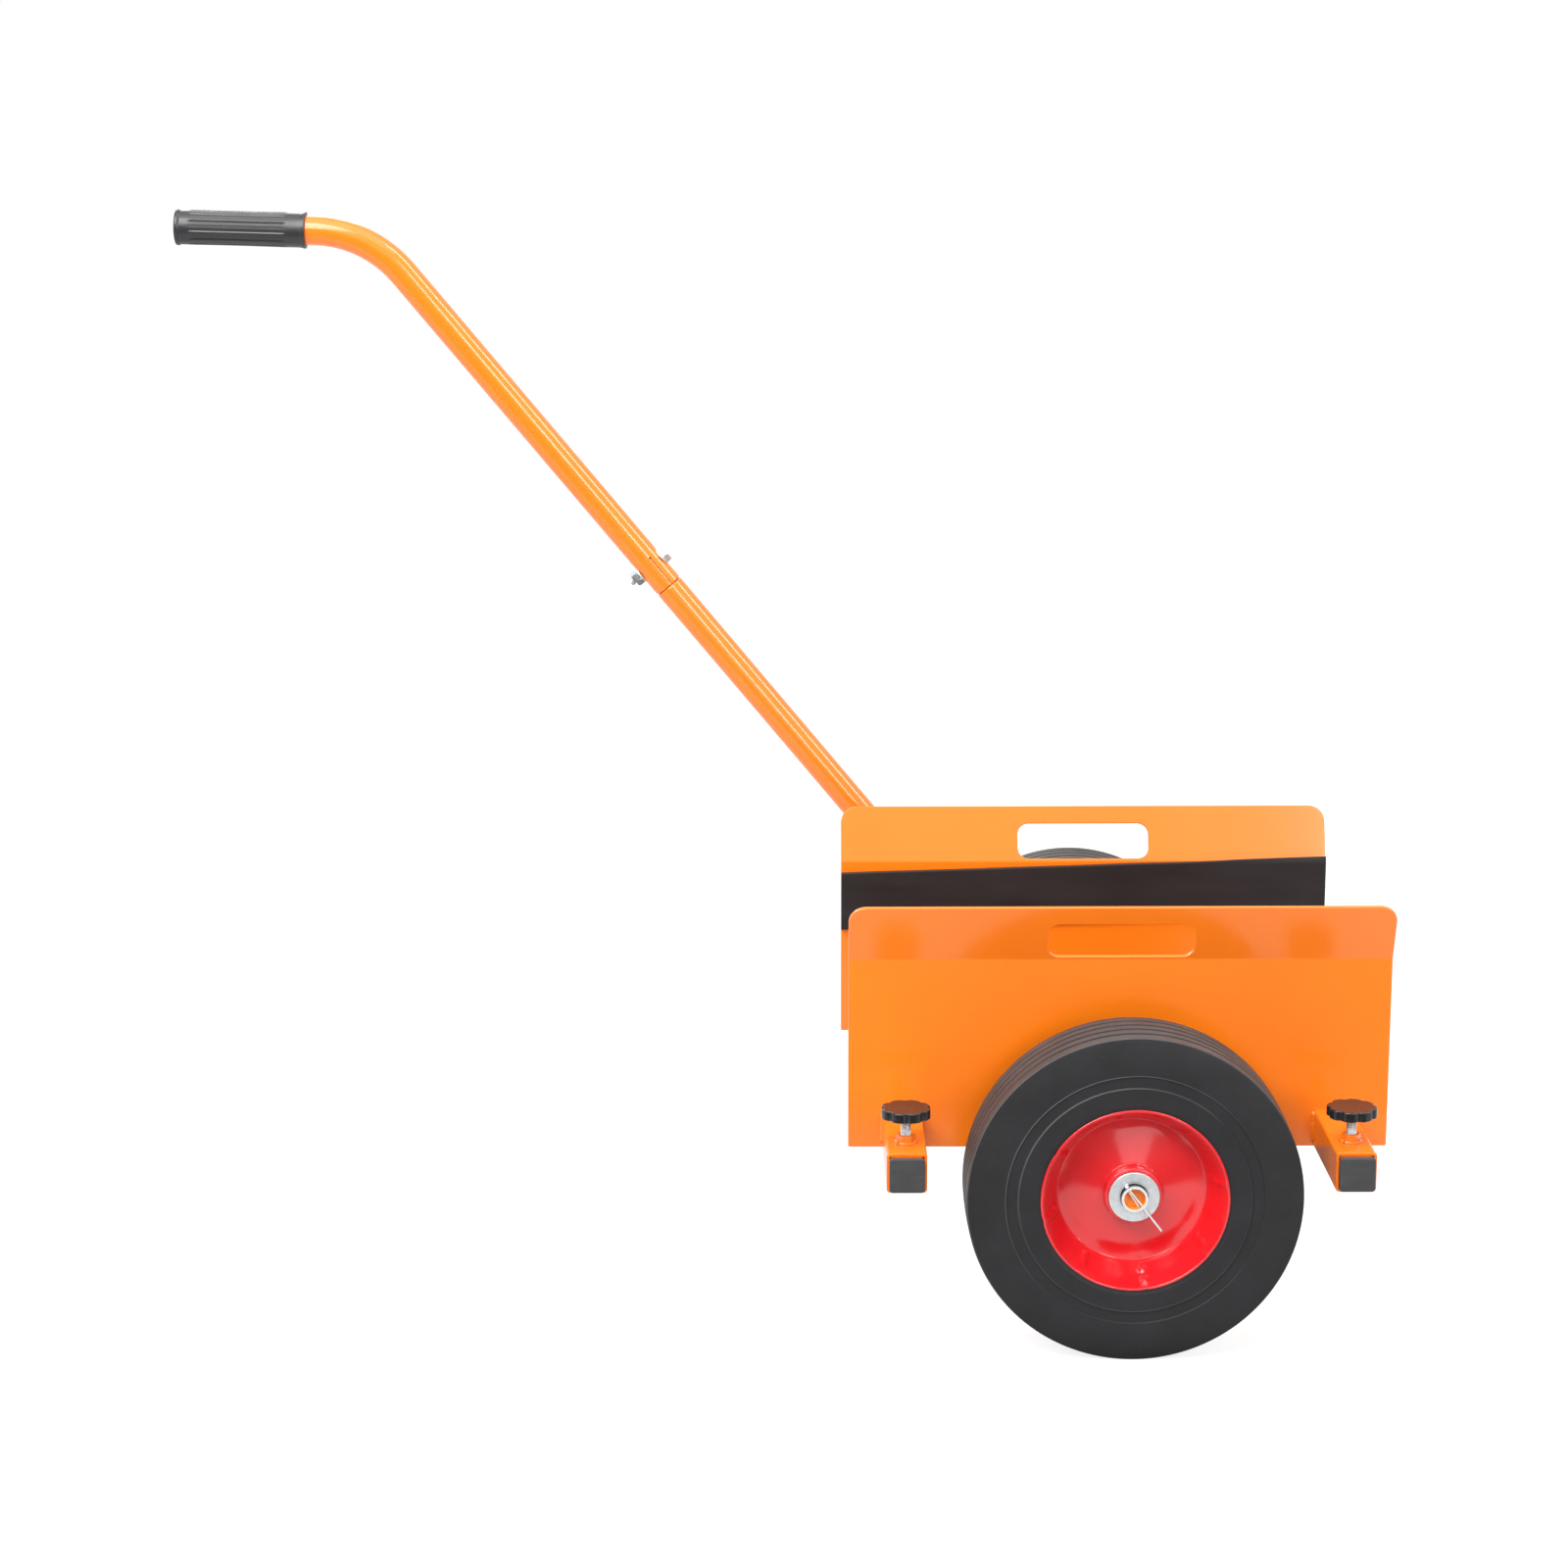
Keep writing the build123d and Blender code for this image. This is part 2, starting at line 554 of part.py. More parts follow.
def axle():
    """Axle bar with a recess in each end and a cross hole for a split pin through its rim."""
    body = disc(-AXLE_HALF, AXLE_HALF, AXLE_DIAMETER)
    for side in (NEAR, FAR):
        ends = sorted((side * AXLE_HALF, side * (AXLE_HALF - AXLE_RECESS)))
        body -= disc(ends[0], ends[1], AXLE_DIAMETER - 2 * AXLE_RIM)
    body = Pos(0, 0, AXLE_HEIGHT) * body
    for side in (NEAR, FAR):
        body -= at_wheel(pin_hole(), side)
    return body


# Handle


def handle_axis():
    """Unit vector up the straight part of the handle."""
    slope = radians(HANDLE_SLOPE)
    return Vector(-cos(slope), 0, sin(slope))


def handle_foot():
    return Vector(HANDLE_FOOT_X, HANDLE_Y, REAR_BEAM_TOP)


def joint_plane():
    """Frame of the handle joint: z up the handle, x towards the moving jaw, y to the bolt head."""
    joint = handle_foot() + handle_axis() * LOWER_RUN
    return Plane(origin=joint, x_dir=(0, -1, 0), z_dir=handle_axis())


def bend_corner():
    return handle_foot() + handle_axis() * (LOWER_RUN + UPPER_RUN)


def grip_axis():
    tilt = radians(GRIP_TILT)
    return Vector(-cos(tilt), 0, sin(tilt))


def bolt_hole(diameter):
    """Cutter across the handle at the joint bolt."""
    bar = Cylinder(diameter / 2, 2 * HANDLE_DIAMETER)
    return joint_plane().location * Pos(0, 0, BOLT_FROM_END) * Rot(90, 0, 0) * bar


def handle_lower_tube():
    """Lower tube: cut level on the rear beam, with a reduced neck inside the upper tube."""
    outside = HANDLE_DIAMETER / 2
    neck = outside - HANDLE_WALL - SEATED
    spare = HANDLE_DIAMETER
    foot = -LOWER_RUN - spare
    shell = make_face(
        Polyline(
            (outside, foot),
            (outside, -NECK_TAPER),
            (neck, 0),
            (neck, NECK_LENGTH),
            (neck - HANDLE_WALL, NECK_LENGTH),
            (neck - HANDLE_WALL, -NECK_TAPER),
            (outside - HANDLE_WALL, -2 * NECK_TAPER),
            (outside - HANDLE_WALL, foot),
            close=True,
        )
    )
    body = joint_plane().location * revolve(Plane.XZ * shell, axis=Axis.Z)
    below = Box(6 * spare, 4 * spare, 4 * spare, align=(Align.CENTER, Align.CENTER, Align.MAX))
    body -= Pos(HANDLE_FOOT_X, HANDLE_Y, REAR_BEAM_TOP) * below
    return body - bolt_hole(BOLT_DIAMETER + 2 * SEATED)


def handle_upper_tube():
    """Upper tube: slit at the joint, one bend, and a straight end for the grip."""
    joint = handle_foot() + handle_axis() * LOWER_RUN
    tip = bend_corner() + grip_axis() * GRIP_RUN
    path = FilletPolyline(joint, bend_corner(), tip, radius=HANDLE_BEND_RADIUS)
    start = joint_plane()
    outer = sweep(start * Circle(HANDLE_DIAMETER / 2), path=path)
    inner = sweep(start * Circle(HANDLE_DIAMETER / 2 - HANDLE_WALL), path=path)
    tube = outer - inner
    turn = Rot(0, 0, SLIT_TURN)
    slit_box = Pos(HANDLE_DIAMETER / 2, 0, SLIT_LENGTH / 2) * Box(HANDLE_DIAMETER, SLIT_WIDTH, SLIT_LENGTH)
    slit_end = Rot(0, 90, 0) * Cylinder(
        SLIT_END_DIAMETER / 2, HANDLE_DIAMETER, align=(Align.CENTER, Align.CENTER, Align.MIN)
    )
    slit = slit_box + Pos(0, 0, SLIT_LENGTH) * slit_end
    tube -= start.location * turn * slit
    seat = BOLT_WASHER_DIAMETER / 2 + SLIDING
    for hand in (1, -1):
        centre = hand * (BOLT_SEAT + HANDLE_DIAMETER / 2)
        spot = Rot(90, 0, 0) * Cylinder(seat, HANDLE_DIAMETER)
        tube -= start.location * Pos(0, centre, BOLT_FROM_END) * spot
    return tube - bolt_hole(BOLT_DIAMETER + 2 * SEATED)


def bolt_stack(height):
    """Place on the joint bolt's axis: z points to the head, height is measured from the tube's axis."""
    return joint_plane().location * Pos(0, 0, BOLT_FROM_END) * Rot(-90, 0, 0) * Pos(0, 0, height)


def handle_washers():
    """Washers under the bolt head and under the nut."""
    washer = along_z(
        Circle(BOLT_WASHER_DIAMETER / 2) - Circle(BOLT_DIAMETER / 2 + SEATED), 0, BOLT_WASHER_THICKNESS
    )
    return [
        bolt_stack(BOLT_SEAT) * washer,
        bolt_stack(-BOLT_SEAT - BOLT_WASHER_THICKNESS) * washer,
    ]


def handle_bolt():
    """Hexagon bolt through both handle tubes."""
    top = BOLT_SEAT + BOLT_WASHER_THICKNESS
    head = along_z(hexagon(BOLT_DIAMETER), 0, BOLT_HEAD_HEIGHT)
    shank = along_z(Circle(BOLT_DIAMETER / 2), -BOLT_LENGTH, 0)
    return bolt_stack(top) * (head + shank)


def handle_nut():
    """Nut on the joint bolt."""
    under = -BOLT_SEAT - BOLT_WASHER_THICKNESS - NUT_HEIGHT
    return bolt_stack(under) * hex_nut(BOLT_DIAMETER, SEATED)


def handle_grip():
    """Rubber grip with end flanges, a closed end and flutes between plain bands."""
    base = bend_corner() + grip_axis() * (GRIP_RUN + GRIP_CAP - GRIP_LENGTH)
    body = along_z(Circle(GRIP_DIAMETER / 2), 0, GRIP_LENGTH)
    flute_reach = GRIP_DIAMETER / 2 + GRIP_FLUTE_WIDTH / 2 - GRIP_FLUTE_DEPTH
    groove = along_z(Circle(GRIP_FLUTE_WIDTH / 2), GRIP_BAND_INNER, GRIP_LENGTH - GRIP_BAND_OUTER)
    for number in range(GRIP_FLUTES):
        body -= Rot(0, 0, number * 360 / GRIP_FLUTES) * Pos(flute_reach, 0, 0) * groove
    flange = Circle(GRIP_FLANGE_DIAMETER / 2)
    body += along_z(flange, 0, GRIP_FLANGE_LENGTH)
    body += along_z(flange, GRIP_LENGTH - GRIP_FLANGE_LENGTH, GRIP_LENGTH)
    body -= along_z(Circle(HANDLE_DIAMETER / 2 + SEATED), 0, GRIP_LENGTH - GRIP_CAP)
    return Plane(origin=base, x_dir=(0, -1, 0), z_dir=grip_axis()).location * body


def save(node, shapes):
    """Write one node: a single solid, or a group of separate solids."""
    pieces = shapes if isinstance(shapes, list) else [shapes]
    solids = [solid for piece in pieces for solid in piece.solids()]
    export_step(solids[0] if len(solids) == 1 else Compound(solids), f"parts/{node}.step")


def main():
    os.makedirs("parts", exist_ok=True)
    save("fixed_plate", at_jaw(jaw_plate(ARM_SIZE + 2 * SEATED), FAR))
    save("fixed_pad", at_jaw(jaw_pad(FIXED_PAD_TILT), FAR))
    save("moving_plate", at_jaw(jaw_plate(SLEEVE_BORE), NEAR))
    save("moving_pad", at_jaw(jaw_pad(0), NEAR))
    for name, x in (("left", LEFT_ARM_X), ("right", RIGHT_ARM_X)):
        save(f"arm_{name}", arm(x))
        save(f"sleeve_{name}", sleeve(x))
        save(f"clamp_nut_{name}", Pos(x, KNOB_Y, SLEEVE_TOP) * hex_nut(STUD_DIAMETER, RUNNING))
        save(f"knob_{name}", knob(x))
        save(f"knob_stud_{name}", knob_stud(x))
    save("arm_plugs", arm_plugs())
    save("rear_beam", rear_beam())
    save("rear_beam_plugs", rear_beam_plugs())
    save("axle_beam", axle_beam())
    save("axle", axle())
    for name, side in (("near", NEAR), ("far", FAR)):
        save(f"{name}_tyre", at_wheel(tyre(), side))
        save(f"{name}_rim_outer", at_wheel(rim_half(), side))
        save(f"{name}_rim_inner", at_wheel(Rot(0, 0, 180) * rim_half(), side))
        save(f"{name}_hub", at_wheel(hub(), side))
        save(f"{name}_bearing_outer_races", [at_wheel(race, side) for race in outer_races()])
        save(f"{name}_bearing_inner_races", [at_wheel(race, side) for race in inner_races()])
        save(f"{name}_bearing_balls", [at_wheel(ball, side) for ball in balls()])
        save(f"{name}_outer_washer", at_wheel(wheel_washer(WASHER_FACE), side))
        save(f"{name}_inner_washer", at_wheel(wheel_washer(-RACE_FACE), side))
        save(f"{name}_split_pin", at_wheel(split_pin(), side))
    save("handle_lower_tube", handle_lower_tube())
    save("handle_upper_tube", handle_upper_tube())
    save("handle_bolt", handle_bolt())
    save("handle_washers", handle_washers())
    save("handle_nut", handle_nut())
    save("handle_grip", handle_grip())


main()
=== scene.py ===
import json
from math import acos, cos, pi, radians, sin, sqrt, tan

import bmesh
import bpy
import numpy as np
from mathutils import Matrix, Vector, noise


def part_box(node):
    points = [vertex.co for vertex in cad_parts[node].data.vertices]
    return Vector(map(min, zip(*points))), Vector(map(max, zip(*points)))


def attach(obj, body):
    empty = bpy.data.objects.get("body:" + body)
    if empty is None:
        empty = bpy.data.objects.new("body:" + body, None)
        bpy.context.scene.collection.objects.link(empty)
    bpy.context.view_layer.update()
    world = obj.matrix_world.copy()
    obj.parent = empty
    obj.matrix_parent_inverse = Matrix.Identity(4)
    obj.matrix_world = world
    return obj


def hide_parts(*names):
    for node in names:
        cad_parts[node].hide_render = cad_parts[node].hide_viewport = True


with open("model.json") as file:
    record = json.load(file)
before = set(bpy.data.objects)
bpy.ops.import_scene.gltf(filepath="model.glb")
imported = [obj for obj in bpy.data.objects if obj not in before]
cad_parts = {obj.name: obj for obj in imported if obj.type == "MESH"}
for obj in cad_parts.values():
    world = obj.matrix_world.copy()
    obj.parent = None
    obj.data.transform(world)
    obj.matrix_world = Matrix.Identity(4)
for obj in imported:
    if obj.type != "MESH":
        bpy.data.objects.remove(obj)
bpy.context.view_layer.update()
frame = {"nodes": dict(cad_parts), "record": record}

mm = 0.001
X_AXIS = (1, 0, 0)
Y_AXIS = (0, 1, 0)
NEARWARD = (0, -1, 0)

# Camera, fitted to the photograph
IMAGE_SIZE = 1600
FOCAL_PIXELS = 3346.0
CAMERA_PLACE = Vector((-0.2622, -2.6415, 0.9489))
CAMERA_PITCH = radians(12.149)
CAMERA_ROLL = radians(-0.14)

# Slots, bodies and places read from the frame
RECORD = frame["record"]
SLOTS = {row["node"]: row["material_slot"] for row in RECORD["subparts"]}
BODIES = {name: body for body, names in RECORD["behaviour"]["bodies"].items() for name in names}
TYRE_LOW, TYRE_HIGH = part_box("near_tyre")
WHEEL_RADIUS = (TYRE_HIGH.z - TYRE_LOW.z) / 2
AXLE_HEIGHT = (TYRE_HIGH.z + TYRE_LOW.z) / 2
WHEEL_STATION = abs(TYRE_HIGH.y + TYRE_LOW.y) / 2
PLATE_LOW, PLATE_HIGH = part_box("fixed_plate")
FIXED_JAW_Y = PLATE_LOW.y
MOVING_JAW_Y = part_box("moving_plate")[1].y
PLATE_BOTTOM = PLATE_LOW.z
PLATE_WIDTH = PLATE_HIGH.x - PLATE_LOW.x
JAW_X = (PLATE_HIGH.x + PLATE_LOW.x) / 2
SIDES = {"near": -1, "far": 1}

# Wheel details
WHEEL_POINTS = 240
TYRE_HALF = 30.0 * mm
CROWN = 0.5 * mm
TREAD_HALF = 28.0 * mm
TREAD_EDGE = 0.9 * mm
GROOVES = 4
GROOVE_WIDTH = 4.2 * mm
GROOVE_DEPTH = 3.0 * mm
SIDEWALL_SWELL = 0.8 * mm
RING_OUTER = 97.5 * mm
RING_INNER = 87.5 * mm
RING_DEPTH = 0.9 * mm
RING_BEAD = 0.35 * mm
BEAD_INSET = 0.3 * mm
RIM_RADIUS = 69.25 * mm
RIM_HALF = TYRE_HALF
RIM_SHEET = 2.0 * mm
RIM_LIP_ROUND = 0.7 * mm
RIM_BACK_ROUND = 1.0 * mm
CREASE_ROUND = 4.0 * mm
TYRE_GAP = 0.1 * mm
HALVES_GAP = 0.05 * mm
CREASE_RADIUS = 56.25 * mm
DISH_FACE = 9.0 * mm
DISH_BEND = 0.25
HUB_RADIUS = 22.0 * mm
HUB_BORE = 18.6 * mm
HUB_EDGE = 1.2 * mm
HUB_BEAD = 0.9 * mm
HUB_BEAD_SHIFT = 0.4 * mm
WASHER_BORE = 10.5 * mm
WASHER_EDGE = 0.45 * mm
DENTS = 8
DENT_TURN = radians(10)
DENT_DEPTH = 1.6 * mm
DENT_WIDTH = 2.4 * mm
DENT_LENGTH = 6.0 * mm
DEEP_DENT = 6
DEEP_DENT_SHARE = 1.8
DEEP_DENT_X = 5.0 * mm

# Jaw details
SHEET = 3.0 * mm
UPRIGHT = 150.0 * mm
CREASE_HEIGHT = PLATE_BOTTOM + UPRIGHT
FLARE = 48.0 * mm
FLARE_ANGLE = radians(21)
BEND_RADIUS = 5.0 * mm
BEND_REACH = BEND_RADIUS * tan(FLARE_ANGLE / 2)
CORNER_RADIUS = 13.5 * mm
FOOT_RADIUS = 1.5 * mm
HOLE_LENGTH = 112.0 * mm
HOLE_LOW = 2.5 * mm
HOLE_HIGH = 33.0 * mm
HOLE_RADIUS = 9.5 * mm
ARM_HOLE_RADIUS = 0.8 * mm
FIXED_ARM_GAP = 0.1 * mm
SLIDING_ARM_GAP = 1.0 * mm
PAD_THICKNESS = 4.0 * mm
PAD_HEIGHT = 50.0 * mm
PAD_DROP = 3.0 * mm
PAD_EDGE = 0.9 * mm
PAD_BACK_EDGE = 0.1 * mm
FIXED_PAD_TILT = radians(1.75)

# Square tubes, plugs and clamps
TUBE_WALL = 2.0 * mm
TUBE_CORNER = 2.6 * mm
PLUG_HEAD = 3.5 * mm
PLUG_STEM = 14.0 * mm
PLUG_GAP = 0.1 * mm
ARM_PLUG_LIP = 0.7 * mm
KNOB_LOBES = 8
KNOB_NOTCH = 2.0 * mm
KNOB_EDGE = 1.1 * mm
KNOB_NECK = 7.5 * mm
KNOB_HOLLOW = 0.25 * mm
KNOB_TURNS = {"left": radians(-90), "right": radians(-82)}

# Handle details
TUBE_POINTS = 72
HANDLE_SLOPE = radians(50.32)
LOWER_RUN = 454.5 * mm
UPPER_RUN = 393.5 * mm
GRIP_RUN = 160.0 * mm
GRIP_TILT = radians(1.7)
HANDLE_BEND = 100.0 * mm
HANDLE_TURN = HANDLE_SLOPE - GRIP_TILT
BEND_START = UPPER_RUN - HANDLE_BEND * tan(HANDLE_TURN / 2)
NECK_LENGTH = 70.0 * mm
NECK_FOOT = -3.0 * mm
SHOULDER_GAP = 0.5 * mm
SHOULDER_LENGTH = 2.4 * mm
SLIT_LENGTH = 29.0 * mm
SLIT_WIDTH = 0.8 * mm
SLIT_END = 1.1 * mm
SLIT_TURN = radians(22)
BOLT_FROM_END = 22.5 * mm
BOLT_RADIUS = 4.0 * mm
BOLT_SEAT = 11.3 * mm
BOLT_PRESS = 10.9 * mm
PRESS_REACH = 12.0 * mm
BOLT_WASHER = 1.6 * mm
BOLT_WASHER_RADIUS = 8.0 * mm
BOLT_WASHER_EDGE = 0.25 * mm
BOLT_LENGTH = 36.5 * mm
BOLT_THREAD = 18.0 * mm
HEAD_HEIGHT = 5.3 * mm
NUT_HEIGHT = 6.5 * mm
NUT_FLATS = 13.0 * mm
NUT_BORE = BOLT_RADIUS + 0.05 * mm
THREAD_PITCH = 1.25 * mm
GRIP_LENGTH = 110.5 * mm
GRIP_CAP = 3.0 * mm
GRIP_WALL = 2.15 * mm
GRIP_LIP = 0.85 * mm
GRIP_FLUTES = 12
FLUTE_TURN = 0.13
FLUTE_DEPTH = 0.95 * mm

# Weld beads
WELD_STEP = 0.7 * mm
WELD_RIPPLE = 2.6 * mm
WELD_LUMPS = 260
WELD_POINTS = 10
NUT_BEAD = 1.7 * mm
NUT_BEAD_SHIFT = 0.6 * mm
SLEEVE_BEAD = 1.8 * mm
FRAME_BEAD = 2.0 * mm
FOOT_BEAD = 2.2 * mm
BEAD_OFF_FACE = 0.4 * mm
BEAD_OFF_SIDE = 0.2 * mm


# Materials


class Signal:
    """Output of a shader node; arithmetic with it adds nodes to its tree."""

    def __init__(self, socket):
        self.socket = socket
        self.tree = socket.id_data

    def __add__(self, other):
        return maths("ADD", self, other)

    def __sub__(self, other):
        return maths("SUBTRACT", self, other)

    def __rsub__(self, other):
        return maths("SUBTRACT", other, self)

    def __mul__(self, other):
        return maths("MULTIPLY", self, other)

    def __truediv__(self, other):
        return maths("DIVIDE", self, other)

    def __abs__(self):
        return maths("ABSOLUTE", self)


def feed(made, inputs):
    """Set or link a node's inputs."""
    for key, value in inputs.items():
        if isinstance(value, Signal):
            value.tree.links.new(value.socket, made.inputs[key])
        else:
            made.inputs[key].default_value = value


def node(tree, kind, inputs=None, **settings):
    """New shader node with its settings and inputs."""
    made = tree.nodes.new(f"ShaderNode{kind}")
    for key, value in settings.items():
        setattr(made, key, value)
    feed(made, inputs or {})
    return made


def signal(output, tree, kind, inputs=None, **settings):
    """One output of a new node."""
    return Signal(node(tree, kind, inputs, **settings).outputs[output])


def maths(operation, *values):
    tree = next(value.tree for value in values if isinstance(value, Signal))
    return signal("Value", tree, "Math", dict(enumerate(values)), operation=operation)


def vector_maths(output, operation, *values):
    return signal(output, values[0].tree, "VectorMath", dict(enumerate(values)), operation=operation)


def place(tree):
    """Coordinates in the object's own frame."""
    return signal("Object", tree, "TexCoord")


def split(vector):
    """The three coordinates of a vector."""
    made = node(vector.tree, "SeparateXYZ", {0: vector})
    return [Signal(made.outputs[axis]) for axis in "XYZ"]


def clouds(where, scale, detail=3.0):
    """Noise value between 0 and 1; the scale counts features per metre."""
    inputs = {"Vector": where, "Scale": scale, "Detail": detail}
    return signal("Fac", where.tree, "TexNoise", inputs)


def stretched(where, factors):
    """Coordinates scaled by three factors."""
    return vector_maths("Vector", "MULTIPLY", where, factors)


def axle_distance(where):
    """Distance from the axle's line."""
    centred = vector_maths("Vector", "SUBTRACT", where, (0.0, 0.0, AXLE_HEIGHT))
    return vector_maths("Value", "LENGTH", stretched(centred, (1.0, 0.0, 1.0)))


def rgba(colour):
    """Opaque colour from three shares or one grey level."""
    return (*colour, 1.0) if isinstance(colour, tuple) else (colour, colour, colour, 1.0)


def ramp(value, *stops):
    """Colour or grey level that follows a value through stops."""
    made = node(value.tree, "ValToRGB", {"Fac": value})
    points = made.color_ramp.elements
    while len(points) < len(stops):
        points.new(0.5)
    for point, (position, colour) in zip(points, stops):
        point.position = position
        point.color = rgba(colour)
    return Signal(made.outputs["Color"])


def mottled(value, low, high):
    """Noise turned into a drift between two colours or grey levels."""
    return ramp(value, (0.3, low), (0.7, high))


def blend(factor, first, second, mode="MIX"):
    """Mix of two colours, the first of them a signal."""
    made = node(first.tree, "Mix", data_type="RGBA", blend_type=mode)
    shown = second if isinstance(second, Signal) else rgba(second)
    feed(made, {0: factor, 6: first, 7: shown})
    return Signal(made.outputs[2])


def bump(shader, *layers):
    """Chain bump layers of (height, distance in metres, strength) into the shader's normal."""
    inputs = {}
    for height, distance, strength in layers:
        inputs |= {"Height": height, "Distance": distance, "Strength": strength}
        inputs["Normal"] = signal("Normal", height.tree, "Bump", inputs)
    feed(shader, {"Normal": inputs["Normal"]})
    return inputs["Normal"]


def shade(name):
    """New material, its shader and the coordinates on the object."""
    made = bpy.data.materials.new(name)
    made.use_nodes = True
    return made, made.node_tree.nodes["Principled BSDF"], place(made.node_tree)


def paint(name, light, deep, gloss, coat):
    """Gloss powder coat: faint colour drift, orange peel and a clear gloss."""
    made, shader, where = shade(name)
    colour = mottled(clouds(where, 7.0), deep, light)
    specks = ramp(clouds(where, 1400.0, 1.0), (0.22, 0.96), (0.34, 1.0))
    peel = clouds(where, 420.0, 2.0)
    waves = clouds(where, 60.0, 1.0)
    feed(shader, {
        "Base Color": blend(1.0, colour, specks, "MULTIPLY"),
        "Roughness": mottled(clouds(where, 30.0), 0.30, 0.40),
        "Specular IOR Level": 0.1,
        "Coat Weight": 1.0,
        "Coat Roughness": gloss,
        "Coat IOR": coat,
        "Coat Normal": bump(shader, (peel, 0.02 * mm, 0.02), (waves, 0.10 * mm, 0.02)),
    })
    return made


def tyre_rubber(name):
    """Matte rubber: turning lines, a painted highlight on the ring edges, a browner tread and grooves
    dulled as painted shade.
    """
    made, shader, where = shade(name)
    x, y, z = split(where)
    radius = axle_distance(where)
    axial = abs(y) - WHEEL_STATION
    depth = WHEEL_RADIUS - axial * axial * (CROWN / TREAD_HALF ** 2) - radius
    at_tread = ramp(depth / (2 * mm), (0.12, 1.0), (0.28, 0.0))
    mottle = clouds(where, 38.0, 5.0)
    side = mottled(mottle, (0.012, 0.012, 0.0135), (0.017, 0.017, 0.019))
    tread = mottled(mottle, (0.050, 0.043, 0.042), (0.070, 0.061, 0.059))
    edges = [(0.0, 0.0)]
    shoulder = WHEEL_RADIUS - CROWN - 0.5 * mm
    for edge in (RING_INNER + BEAD_INSET, RING_OUTER - BEAD_INSET, shoulder):
        middle = edge / WHEEL_RADIUS
        edges += [(middle - 0.005, 0.0), (middle, 0.55), (middle + 0.005, 0.0)]
    # Painted highlight: the ring edges and the shoulder are lightened towards grey, most towards the
    # upper left, where the light falls.
    drift = (z - AXLE_HEIGHT - x) / (3 * WHEEL_RADIUS) + clouds(where, 9.0, 2.0)
    painted_ring_highlight = ramp(radius / WHEEL_RADIUS, *edges) * ramp(drift, (0.45, 0.10), (0.85, 1.0))
    colour = blend(at_tread, blend(painted_ring_highlight, side, 0.20), tread)
    dust = ramp(clouds(where, 900.0, 2.0), (0.66, 0.0), (0.80, 1.0)) * 0.10
    # Painted shade: inside the grooves the rubber's shine is turned down, so that they read dark.
    within = maths("LESS_THAN", abs(axial), TREAD_HALF - 1.5 * mm)
    sunk = within * (1.0 - at_tread)
    feed(shader, {
        "Base Color": blend(dust, colour, (0.30, 0.28, 0.26)),
        "Roughness": mottled(clouds(where, 22.0, 4.0), 0.50, 0.64),
        "Specular IOR Level": ramp(sunk, (0.0, 0.35), (1.0, 0.03)),
    })
    lines = maths("SINE", radius * (2 * pi / (0.9 * mm)))
    bump(shader, (lines, 0.03 * mm, 0.15), (clouds(where, 1500.0, 2.0), 0.06 * mm, 0.25))
    return made


def soft_rubber(name, dark, light, rough, along, shine):
    """Satin rubber with moulding streaks along one axis and a fine grain."""
    made, shader, where = shade(name)
    streaks = clouds(stretched(where, along), 60.0, 4.0)
    feed(shader, {
        "Base Color": mottled(streaks, dark, light),
        "Roughness": mottled(clouds(where, 26.0), rough - 0.06, rough + 0.06),
        "Specular IOR Level": shine,
    })
    bump(shader, (clouds(where, 1100.0, 2.0), 0.06 * mm, 0.3), (streaks, 0.1 * mm, 0.15))
    return made


def plastic(name, dark, light, rough):
    """Moulded plastic with a faint flow pattern."""
    made, shader, where = shade(name)
    flow = clouds(stretched(where, (1.0, 1.0, 2.5)), 90.0, 4.0)
    feed(shader, {
        "Base Color": mottled(flow, dark, light),
        "Roughness": ramp(clouds(where, 320.0), (0.35, rough), (0.75, rough + 0.12)),
    })
    bump(shader, (clouds(where, 1300.0, 1.0), 0.03 * mm, 0.2))
    return made


def metal(name, dark, light, rough, scale):
    """Plated or ground steel: clouded colour and uneven gloss."""
    made, shader, where = shade(name)
    feed(shader, {
        "Base Color": mottled(clouds(where, scale, 4.0), dark, light),
        "Roughness": mottled(clouds(where, 3 * scale), rough, rough + 0.15),
        "Metallic": 1.0,
    })
    bump(shader, (clouds(where, 2500.0, 2.0), 0.02 * mm, 0.3))
    return made


def rim_finish(name):
    """Red gloss paint, duller on the band outside the dish, apart from its deepest dent."""
    made = paint(name, (0.77, 0.012, 0.018), (0.71, 0.009, 0.014), 0.12, 1.75)
    where = place(made.node_tree)
    x, _, z = split(where)
    crease = CREASE_RADIUS / RIM_RADIUS
    dull = 0.22
    share = axle_distance(where) / RIM_RADIUS
    gloss = ramp(share, (crease, 1.0), (crease + 0.03, dull), (0.95, dull), (0.98, 1.0))
    beside_dent = ramp(abs(x - DEEP_DENT_X) / (10 * mm), (0.5, 1.0), (0.8, 0.0))
    dented = beside_dent * maths("LESS_THAN", z, AXLE_HEIGHT)
    shader = made.node_tree.nodes["Principled BSDF"]
    feed(shader, {"Coat Weight": maths("MAXIMUM", gloss, dented)})
    return made


